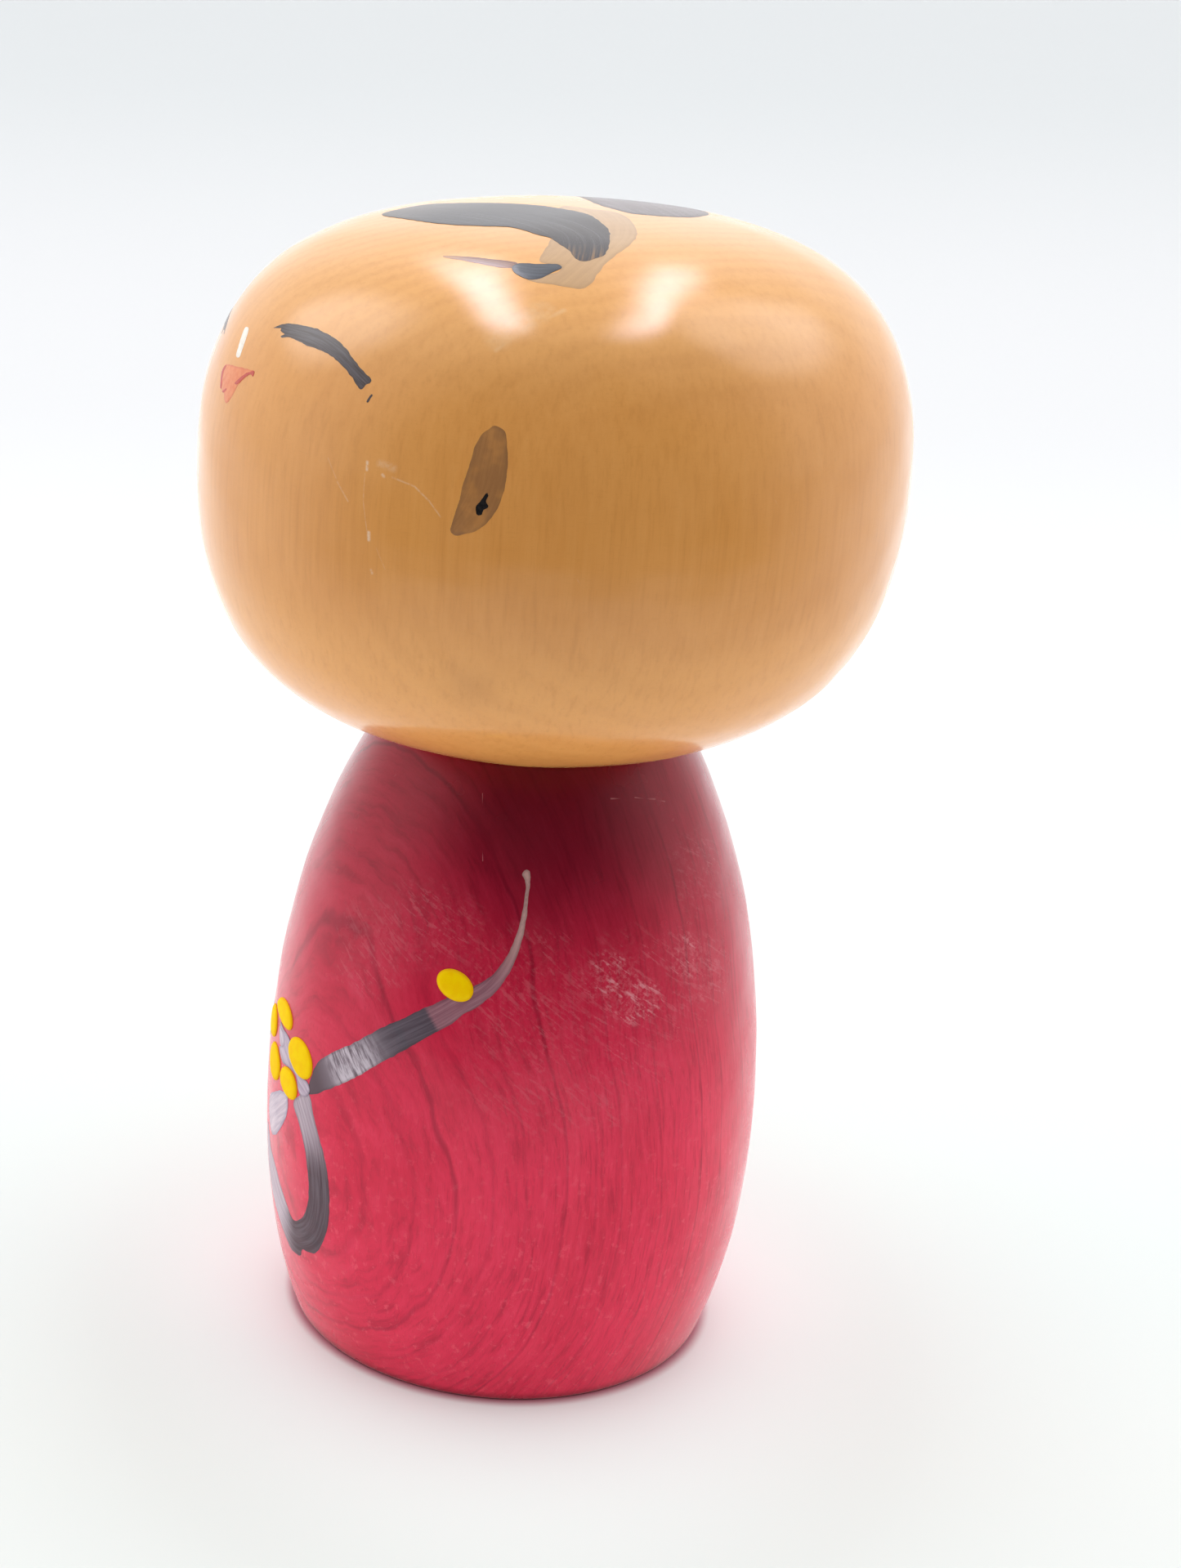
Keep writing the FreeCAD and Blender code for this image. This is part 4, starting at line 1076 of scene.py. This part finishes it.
# ---- dowel
mat, n = new_material("dowel_wood")
p = n.point()
fib = n.noise(n.v("MULTIPLY", p, (1.6, 1.6, 0.08)), 1.0, 4.0, 0.6)
fin = n.noise(n.v("MULTIPLY", p, (6.0, 6.0, 0.5)), 1.0, 2.0)
col = n.mix(n.step(fib, 0.3, 0.7), (0.66, 0.43, 0.23), (0.50, 0.30, 0.14))
col = n.mix(n.mul(n.step(fin, 0.5, 0.75), 0.4), col, (0.36, 0.20, 0.09))
surface(n, col, rough=0.62, bump=n.add(fib, fin), bump_dist=0.03)
give(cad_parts["neck_dowel"], mat)


def bristles(net, along=0.10, across=3.0, detail=3.0, seed=0.0):
    """Streaks left by the brush hairs, from the stroke's own coordinates."""
    q = net.comb(net.mul(net.attr("bt"), along),
                 net.mul(net.attr("bw"), across), seed)
    return net.noise(q, 1.0, detail, 0.6, 0.15)


def paint_on_head(name, ob, build, coat=0.9):
    mat_, net = new_material(name)
    pt = net.point()
    wood, hgt = head_wood(net, pt)
    color, relief = build(net, pt, wood)
    surface(net, color, rough=0.6, coat=coat, coat_rough=0.19, bump=relief,
            bump_dist=0.012, coat_bump=0.35, spec=0.0)
    give(ob, mat_)


def paint_on_body(name, ob, build, coat=0.5, coat_rough=0.26):
    mat_, net = new_material(name)
    pt = net.point()
    wood, hgt, _ = body_wood(net, pt)
    color, relief = build(net, pt, wood)
    surface(net, color, rough=0.5, coat=coat, coat_rough=coat_rough,
            bump=relief, bump_dist=0.02, coat_bump=0.5, spec=0.0)
    give(ob, mat_)


def eye_paint(net, pt, wood):
    br = bristles(net, 0.16, 4.5)
    be = net.attr("be")
    c = net.mix(net.step(br, 0.35, 0.68), srgb(44, 47, 57),
                srgb(80, 83, 94))
    c = net.mix(net.mul(net.step(be, 0.25, 0.0), 0.55), c, srgb(52, 52, 58))
    thin = net.step(br, 0.64, 0.78)
    bt = net.attr("bt")
    dry = net.m("MAXIMUM", net.step(bt, 4.5, 0.5),
                net.step(bt, 17.5, 20.5))
    c = net.mix(net.mul(net.mul(thin, dry), 0.85), c, wood)
    return net.mix(0.05, c, wood), br


for key in ("paint_eye_left", "paint_eye_right"):
    paint_on_head(key + "_slate", film_specs[key], eye_paint, coat=0.7)


def nose_paint(net, pt, wood):
    br = net.noise(pt, 2.2, 3.0)
    c = net.mix(net.step(br, 0.3, 0.7), srgb(255, 250, 240),
                srgb(240, 232, 218))
    return net.mix(net.mul(net.step(net.attr("be"), 0.12, 0.0), 0.5), c,
                   srgb(215, 190, 160)), br


paint_on_head("nose_white", film_specs["paint_nose"], nose_paint)


def mouth_paint(net, pt, wood):
    br = net.noise(pt, 1.4, 3.0)
    c = net.mix(net.step(br, 0.3, 0.7), srgb(238, 138, 84),
                srgb(230, 116, 66))
    c = net.mix(net.mul(net.step(net.attr("be"), 0.3, 0.0), 0.45), c,
                srgb(206, 88, 62))
    return net.mix(0.12, c, wood), br


paint_on_head("mouth_coral", film_specs["paint_mouth"], mouth_paint)


def lip_paint(net, pt, wood):
    br = net.noise(pt, 2.5, 3.0)
    return net.mix(net.step(br, 0.3, 0.7), srgb(208, 72, 52),
                   srgb(190, 60, 48)), br


paint_on_head("lip_red", film_specs["paint_lip_lines"], lip_paint)


def ear_paint(net, pt, wood):
    br = bristles(net, 0.12, 2.0)
    be = net.attr("be")
    c = net.mix(net.step(br, 0.25, 0.8), srgb(140, 98, 64),
                srgb(162, 114, 72))
    c = net.mix(net.mul(net.step(be, 0.5, 0.05), 0.42), c, srgb(108, 82, 62))
    patch = net.noise(pt, 0.45, 2.0)
    return net.mix(net.add(0.16, net.mul(net.step(patch, 0.4, 0.7), 0.25)),
                   c, wood), br


for key in ("paint_ear_left", "paint_ear_right"):
    paint_on_head(key + "_brown", film_specs[key], ear_paint)


def spot_paint(net, pt, wood):
    br = net.noise(pt, 2.0, 3.0)
    return net.mix(net.step(br, 0.3, 0.7), srgb(16, 14, 16),
                   srgb(36, 32, 32)), br


paint_on_head("ear_spot_black", film_specs["paint_ear_spots"], spot_paint)


def fringe_paint(net, pt, wood):
    br = bristles(net, 0.05, 1.5, 4.0)
    bt, bw, be = net.attr("bt"), net.attr("bw"), net.attr("be")
    light = net.step(bt, 2.0, 14.0)
    c = net.mix(light, srgb(88, 91, 98), srgb(66, 75, 87))
    c = net.mix(net.step(bt, 20.0, 33.0), c, srgb(44, 52, 64))
    c = net.mix(net.mul(net.step(br, 0.46, 0.70), 0.28), c,
                srgb(112, 117, 126))
    c = net.mix(net.mul(net.step(br, 0.44, 0.28), 0.35), c, srgb(44, 50, 60))
    c = net.mix(net.mul(net.step(be, 0.8, 0.1), 0.35), c, srgb(50, 54, 64))
    tip = net.mul(net.step(bt, 36.0, 42.0), net.step(br, 0.46, 0.60))
    c = net.mix(net.mul(tip, 0.9), c, srgb(140, 108, 76))
    return net.mix(0.04, c, wood), br


paint_on_head("fringe_grey", film_specs["paint_hair_fringe"], fringe_paint,
              coat=0.66)


def wash_paint(net, pt, wood):
    br = bristles(net, 0.06, 1.1, 3.0)
    be = net.attr("be")
    c = net.mix(net.step(br, 0.25, 0.8), srgb(154, 130, 100),
                srgb(176, 149, 113))
    c = net.mix(net.mul(net.step(be, 0.5, 0.1), 0.40), c, srgb(126, 104, 80))
    return net.mix(0.30, c, wood), br


paint_on_head("hair_wash_tan", film_specs["paint_hair_wash"], wash_paint)


def lock_paint(net, pt, wood):
    br = bristles(net, 0.2, 2.6)
    be = net.attr("be")
    c = net.mix(net.step(br, 0.35, 0.7), srgb(48, 53, 63),
                srgb(70, 75, 86))
    return net.mix(net.mul(net.step(be, 0.5, 0.05), 0.6), c,
                   srgb(34, 36, 50)), br


paint_on_head("lock_blue", film_specs["paint_hair_lock"], lock_paint)


def tail_paint(net, pt, wood):
    br = bristles(net, 0.12, 3.6)
    c = net.mix(net.step(br, 0.35, 0.7), srgb(116, 84, 84),
                srgb(158, 120, 104))
    c = net.mix(net.step(net.attr("bw"), 0.2, 1.1), c, srgb(104, 74, 76))
    fade = net.step(net.attr("bt"), 5.5, 0.5)
    return net.mix(net.add(0.06, net.mul(fade, 0.32)), c, wood), br


paint_on_head("tail_mauve", film_specs["paint_hair_tail"], tail_paint)


def nape_paint(net, pt, wood):
    br = bristles(net, 0.05, 1.3, 4.0)
    be = net.attr("be")
    c = net.mix(net.step(br, 0.35, 0.7), srgb(80, 80, 92),
                srgb(108, 106, 118))
    c = net.mix(net.mul(net.step(be, 1.2, 0.1), 0.65), c, srgb(52, 54, 66))
    return net.mix(0.05, c, wood), br


paint_on_head("nape_grey", film_specs["paint_hair_back"], nape_paint,
              coat=0.72)


def long_paint(net, pt, wood):
    bt, bw, be = net.attr("bt"), net.attr("bw"), net.attr("be")
    br = bristles(net, 0.08, 2.4, 4.0)
    cross = net.noise(net.comb(net.mul(bt, 1.6), net.mul(bw, 0.25), 3.0),
                      1.0, 4.0, 0.65)
    c = net.mix(net.step(bt, 1.5, 6.0), srgb(80, 72, 80), srgb(128, 120, 130))
    silver = net.mul(net.step(bt, 4.0, 7.5), net.step(bt, 16.5, 10.5))
    c = net.mix(net.mul(silver, net.step(cross, 0.40, 0.60)), c,
                srgb(206, 198, 208))
    c = net.mix(net.mul(silver, net.step(cross, 0.44, 0.30)), c,
                srgb(82, 78, 88))
    dark = net.step(bt, 12.0, 18.0)
    c = net.mix(dark, c, net.mix(net.step(br, 0.35, 0.7), srgb(66, 66, 76),
                                 srgb(94, 92, 102)))
    thin = net.step(net.add(bt, net.mul(net.sub(br, 0.5), 0.8)), 22.9, 23.7)
    mauve = net.mix(net.step(br, 0.35, 0.7), srgb(124, 94, 106),
                    srgb(160, 128, 138))
    c = net.mix(thin, c, mauve)
    c = net.mix(net.step(bt, 32.0, 42.0), c, srgb(204, 170, 165))
    c = net.mix(net.mul(net.step(be, 0.4, 0.02), 0.35), c, srgb(58, 50, 58))
    veil = net.add(0.04, net.mul(thin, 0.10))
    return net.mix(veil, c, wood), net.add(br, cross)


paint_on_body("stroke_ink", film_specs["paint_stroke_left"], long_paint)


def short_paint(net, pt, wood):
    bt, be = net.attr("bt"), net.attr("be")
    br = bristles(net, 0.08, 2.4, 4.0)
    c = net.mix(net.step(br, 0.35, 0.7), srgb(70, 66, 74),
                srgb(132, 128, 136))
    c = net.mix(net.step(bt, 14.0, 26.0), c, srgb(128, 96, 106))
    c = net.mix(net.mul(net.step(be, 0.4, 0.02), 0.35), c, srgb(58, 50, 58))
    return net.mix(net.step(bt, 10.0, 30.0, 0.05, 0.25), c, wood), br


paint_on_body("short_stroke_ink", film_specs["paint_stroke_right"],
              short_paint)


def loop_paint(net, pt, wood):
    bt, bw, be = net.attr("bt"), net.attr("bw"), net.attr("be")
    br = bristles(net, 0.10, 2.2, 4.0)
    c = net.mix(net.step(br, 0.35, 0.7), srgb(158, 146, 158),
                srgb(196, 186, 196))
    c = net.mix(net.step(bt, 4.5, 12.0), c, net.mix(
        net.step(br, 0.35, 0.7), srgb(58, 58, 66), srgb(102, 100, 108)))
    c = net.mix(net.step(bt, 11.0, 17.0), c, net.mix(
        net.step(br, 0.35, 0.7), srgb(54, 54, 62), srgb(90, 89, 97)))
    c = net.mix(net.step(bt, 27.0, 33.0), c, net.mix(
        net.step(br, 0.35, 0.7), srgb(176, 166, 178), srgb(206, 196, 206)))
    c = net.mix(net.mul(net.step(be, 0.5, 0.02), 0.35), c, srgb(66, 60, 70))
    return net.mix(0.05, c, wood), br


paint_on_body("loop_ink", film_specs["paint_loop"], loop_paint)


def petal_paint(net, pt, wood):
    br = bristles(net, 0.15, 1.8)
    c = net.mix(net.step(br, 0.3, 0.7), srgb(220, 209, 218),
                srgb(186, 174, 190))
    c = net.mix(net.mul(net.step(net.attr("be"), 0.7, 0.05), 0.55), c,
                srgb(150, 146, 172))
    return net.mix(0.04, c, wood), br


paint_on_body("petal_white", film_specs["paint_petals"], petal_paint)


def knot_paint(net, pt, wood):
    br = bristles(net, 0.15, 1.8)
    c = net.mix(net.step(br, 0.3, 0.7), srgb(206, 190, 204),
                srgb(160, 140, 162))
    return net.mix(net.mul(net.step(net.attr("be"), 0.4, 0.02), 0.45), c,
                   srgb(96, 84, 104)), br


paint_on_body("blossom_lavender", film_specs["paint_blossom_wash"],
              knot_paint)


def dot_paint(net, pt, wood):
    br = net.noise(pt, 0.8, 3.0)
    be = net.attr("be")
    c = net.mix(net.step(br, 0.3, 0.7), (0.98, 0.60, 0.0), (1.0, 0.68, 0.0))
    return net.mix(net.mul(net.step(be, 0.35, 0.0), 0.55), c,
                   (0.80, 0.34, 0.0)), br


paint_on_body("dot_yellow", film_specs["paint_dots"], dot_paint,
              coat=0.12, coat_rough=0.3)

# ====================================================================== stage
AMB_LOW, AMB_TOP, AMB_BACK, NEAR_CUT, CEILING = 1.10, 1.31, 0.42, 0.90, 0.63
FORWARD = np.array([math.cos(math.radians(161.02)),
                    math.sin(math.radians(161.02))])
RIGHT = np.array([-FORWARD[1] * -1.0, FORWARD[0] * -1.0])

bpy.ops.mesh.primitive_grid_add(x_subdivisions=8, y_subdivisions=8, size=14.0,
                                location=(0, 0, -0.00002))
floor = bpy.context.object
floor.name = "studio_floor"
mat, n = new_material("floor_paper")
geo = n.node("ShaderNodeNewGeometry").outputs["Position"]
along = n.v("DOT_PRODUCT", geo, (float(FORWARD[0]), float(FORWARD[1]), 0.0))
fib = n.noise(geo, 9.0, 3.0)
radius = n.v("LENGTH", geo)
col = n.mix(n.step(radius, 0.10, 0.45), (0.90, 0.895, 0.890),
            (0.99, 0.99, 0.99))
col = n.mix(n.step(radius, 0.13, 0.03), col, (0.94, 1.0, 1.0))
# painted shade: the floor colour the camera sees is set band by band along the
# view, darker further behind the doll, standing for light falling off across
# the floor
tone = n.mix(n.step(along, -0.05, 0.02), (0.762, 0.778, 0.762),
             (0.730, 0.765, 0.756))
tone = n.mix(n.step(along, 0.02, 0.24), tone, (0.760, 0.777, 0.777))
tone = n.mix(n.step(along, 0.24, 0.60), tone, (0.690, 0.697, 0.705))
tone = n.mix(n.step(along, 0.60, 1.60), tone, (0.636, 0.658, 0.664))
# painted light: the floor the camera sees is made a little lighter and cooler
# round the doll
tone = n.mix(n.step(radius, 0.17, 0.06), tone, (0.985, 1.035, 1.03),
             "MULTIPLY")
# painted light: the floor in front of the foot is lightened, lifting the doll's
# shadow there
lateral = n.v("DOT_PRODUCT", geo, (float(RIGHT[0]), float(RIGHT[1]), 0.0))
apart = n.v("LENGTH", n.comb(n.mul(lateral, 1.45), along, 0.0))
tone = n.mix(n.mul(n.step(apart, 0.085, 0.034), n.step(along, 0.045, -0.01)),
             tone, (0.90, 1.0, 0.99))
# stain-coloured light gathers in the crevice under the rounded foot
tone = n.mix(n.step(radius, 0.0306, 0.0286), tone, (0.60, 0.24, 0.31))
tone = n.mix(n.mul(fib, 0.03), tone, (0.8, 0.8, 0.8))
# little light comes back from the floor behind the camera
seen = n.node("ShaderNodeLightPath").outputs["Is Camera Ray"]
toward = n.m("DIVIDE", along, n.m("MAXIMUM", radius, 0.001))
dim = n.mul(n.mul(n.sub(1.0, seen), n.step(radius, 0.20, 0.50)),
            n.mul(n.step(toward, 0.04, -0.76), 0.93))
col = n.mix(dim, col, (0.0, 0.0, 0.0))
col = n.mix(seen, col, tone)
surface(n, col, rough=0.9, spec=0.1)
give(floor, mat)

world = bpy.data.worlds.new("soft_studio")
bpy.context.scene.world = world
world.use_nodes = True
w = Net(world.node_tree)
direction = w.node("ShaderNodeTexCoord").outputs["Generated"]
dx, dy, up = w.sep(direction)
fwd = w.v("DOT_PRODUCT", direction, (float(FORWARD[0]), float(FORWARD[1]),
                                     0.0))
rgt = w.v("DOT_PRODUCT", direction, (float(RIGHT[0]), float(RIGHT[1]), 0.0))
tint = w.mix(w.step(up, 0.1, 0.8), (1.0, 0.985, 0.97), (0.985, 0.995, 1.0))
near = w.step(fwd, 0.04, -0.76)            # the dark side, behind the camera
# what lights the doll: bright ceiling, sides and back, dim behind the camera
ambient = w.step(up, -0.05, 0.85, AMB_LOW, AMB_TOP)
ambient = w.add(ambient, w.mul(w.step(fwd, -0.1, 0.8), AMB_BACK))
ambient = w.add(ambient, w.mul(w.step(rgt, 0.2, 1.0), 0.16))
ambient = w.mul(ambient, w.sub(1.0, w.mul(w.mul(near, w.step(up, 0.95, 0.35)),
                                          NEAR_CUT)))
# what the varnish mirrors: dim front, pale walls, two soft ceiling strips and
# a pale glow on either side
mirror = w.step(up, 0.0, 0.9, 1.30, 1.24)
mirror = w.mul(mirror, w.sub(1.0, w.mul(near, 0.94)))
safe = w.m("MAXIMUM", up, 0.04)
sa, sb = w.m("DIVIDE", rgt, safe), w.m("DIVIDE", fwd, safe)
above = w.step(up, 0.30, 0.50)


def band(centre0, slope, half, soft, level_):
    off = w.m("ABSOLUTE", w.sub(sa, w.add(centre0, w.mul(sb, slope))))
    return w.mul(w.mul(w.mul(w.step(off, half + soft, half - soft),
                             w.step(sb, -0.22, 0.14)),
                       w.mul(w.step(sb, 1.75, 0.10), above)), level_)


def glow(rx, fx, ux, size, level_):
    q = math.sqrt(rx * rx + fx * fx + ux * ux)
    near_ = w.add(w.add(w.mul(rgt, rx / q), w.mul(fwd, fx / q)),
                  w.mul(up, ux / q))
    return w.mul(w.step(near_, math.cos(size), math.cos(size * 0.25)), level_)


aside = w.step(fwd, 0.30, -0.10)
mirror = w.add(mirror, w.mul(aside, w.add(
    w.mul(w.step(rgt, 0.35, 0.80), 0.15),
    w.mul(w.step(rgt, -0.35, -0.80), 0.15))))
panels = w.add(band(-0.194, 0.082, 0.078, 0.060, 12.2),
               band(0.270, 0.094, 0.067, 0.056, 11.8))
mirror = w.add(mirror, panels)
tint = w.mix(w.step(panels, 0.4, 5.0), tint, (0.90, 0.88, 1.0))
mirror = w.add(mirror, glow(-0.66, 0.34, 0.67, 0.42, 3.0))
mirror = w.add(mirror, glow(0.64, 0.24, 0.72, 0.46, 2.5))
glossy = w.node("ShaderNodeLightPath").outputs["Is Glossy Ray"]
level = w.add(w.mul(ambient, w.sub(1.0, glossy)), w.mul(mirror, glossy))
direct = w.node("ShaderNodeLightPath").outputs["Is Camera Ray"]
level = w.add(w.mul(level, w.sub(1.0, direct)), w.mul(direct, 0.88))
bg = w.node("ShaderNodeBackground")
w.put(bg.inputs[0], tint)
w.put(bg.inputs[1], level)
wo = w.node("ShaderNodeOutputWorld")
w.t.links.new(bg.outputs[0], wo.inputs[0])


def strip(name, lateral, ahead, height, wide, long, watts):
    d = bpy.data.lights.new(name, "AREA")
    d.shape = "RECTANGLE"
    d.size, d.size_y = wide, long
    d.energy = watts
    o = bpy.data.objects.new(name, d)
    bpy.context.scene.collection.objects.link(o)
    xy = RIGHT * lateral + FORWARD * ahead
    o.location = (xy[0], xy[1], height)
    o.rotation_euler = (0, 0, math.atan2(RIGHT[1], RIGHT[0]))
    o.visible_glossy = False
    o.visible_camera = False
    return o


def radiance(level_, wide, long):
    return level_ * math.pi * wide * long


strip("ceiling_soft", 0.0, 0.28, 1.05, 1.1, 1.1,
      radiance(CEILING, 1.1, 1.1))

# ===================================================================== camera
yaw, pitch, roll = -0.105096, 0.423421, 0.022508
fwd3 = np.array([math.sin(yaw) * math.cos(pitch),
                 math.cos(yaw) * math.cos(pitch), -math.sin(pitch)])
rt = np.array([math.cos(yaw), -math.sin(yaw), 0.0])
upv = np.cross(rt, fwd3)
r2 = math.cos(roll) * rt + math.sin(roll) * upv
u2 = -math.sin(roll) * rt + math.cos(roll) * upv
turn = math.radians(65.0)
spin = np.array([[math.cos(turn), -math.sin(turn), 0],
                 [math.sin(turn), math.cos(turn), 0], [0, 0, 1]])
place = spin @ np.array([0.0, -0.336953, 0.201021])
r2, u2, fwd3 = spin @ r2, spin @ u2, spin @ fwd3
cam_data = bpy.data.cameras.new("camera")
cam = bpy.data.objects.new("camera", cam_data)
bpy.context.scene.collection.objects.link(cam)
bpy.context.scene.camera = cam
cam_data.sensor_fit = "AUTO"
cam_data.sensor_width = 36.0
cam_data.lens = 3300.0 / 1919.0 * 36.0
cam_data.clip_start, cam_data.clip_end = 0.01, 30.0
m4 = Matrix.Identity(4)
for i in range(3):
    m4[i][0], m4[i][1], m4[i][2] = r2[i], u2[i], -fwd3[i]
    m4[i][3] = place[i]
cam.matrix_world = m4
# The picture is framed off the lens axis, as with a shifted lens. The shift
# belongs to this one camera place, so it is tied to it and drops to nothing
# when the camera is moved round the doll.
for path, amount in (("shift_x", 408.08 / 1919.0), ("shift_y",
                                                    223.94 / 1919.0)):
    setattr(cam_data, path, amount)
    drv = cam_data.driver_add(path).driver
    drv.type = "SCRIPTED"
    var = drv.variables.new()
    var.name = "x"
    var.type = "TRANSFORMS"
    var.targets[0].id = cam
    var.targets[0].transform_type = "LOC_X"
    var.targets[0].transform_space = "WORLD_SPACE"
    drv.expression = "%.6f * (abs(x - %.6f) < 0.0005)" % (amount, place[0])

scene = bpy.context.scene
scene.view_settings.view_transform = "Standard"
scene.view_settings.look = "None"
scene.view_settings.exposure = 0.0
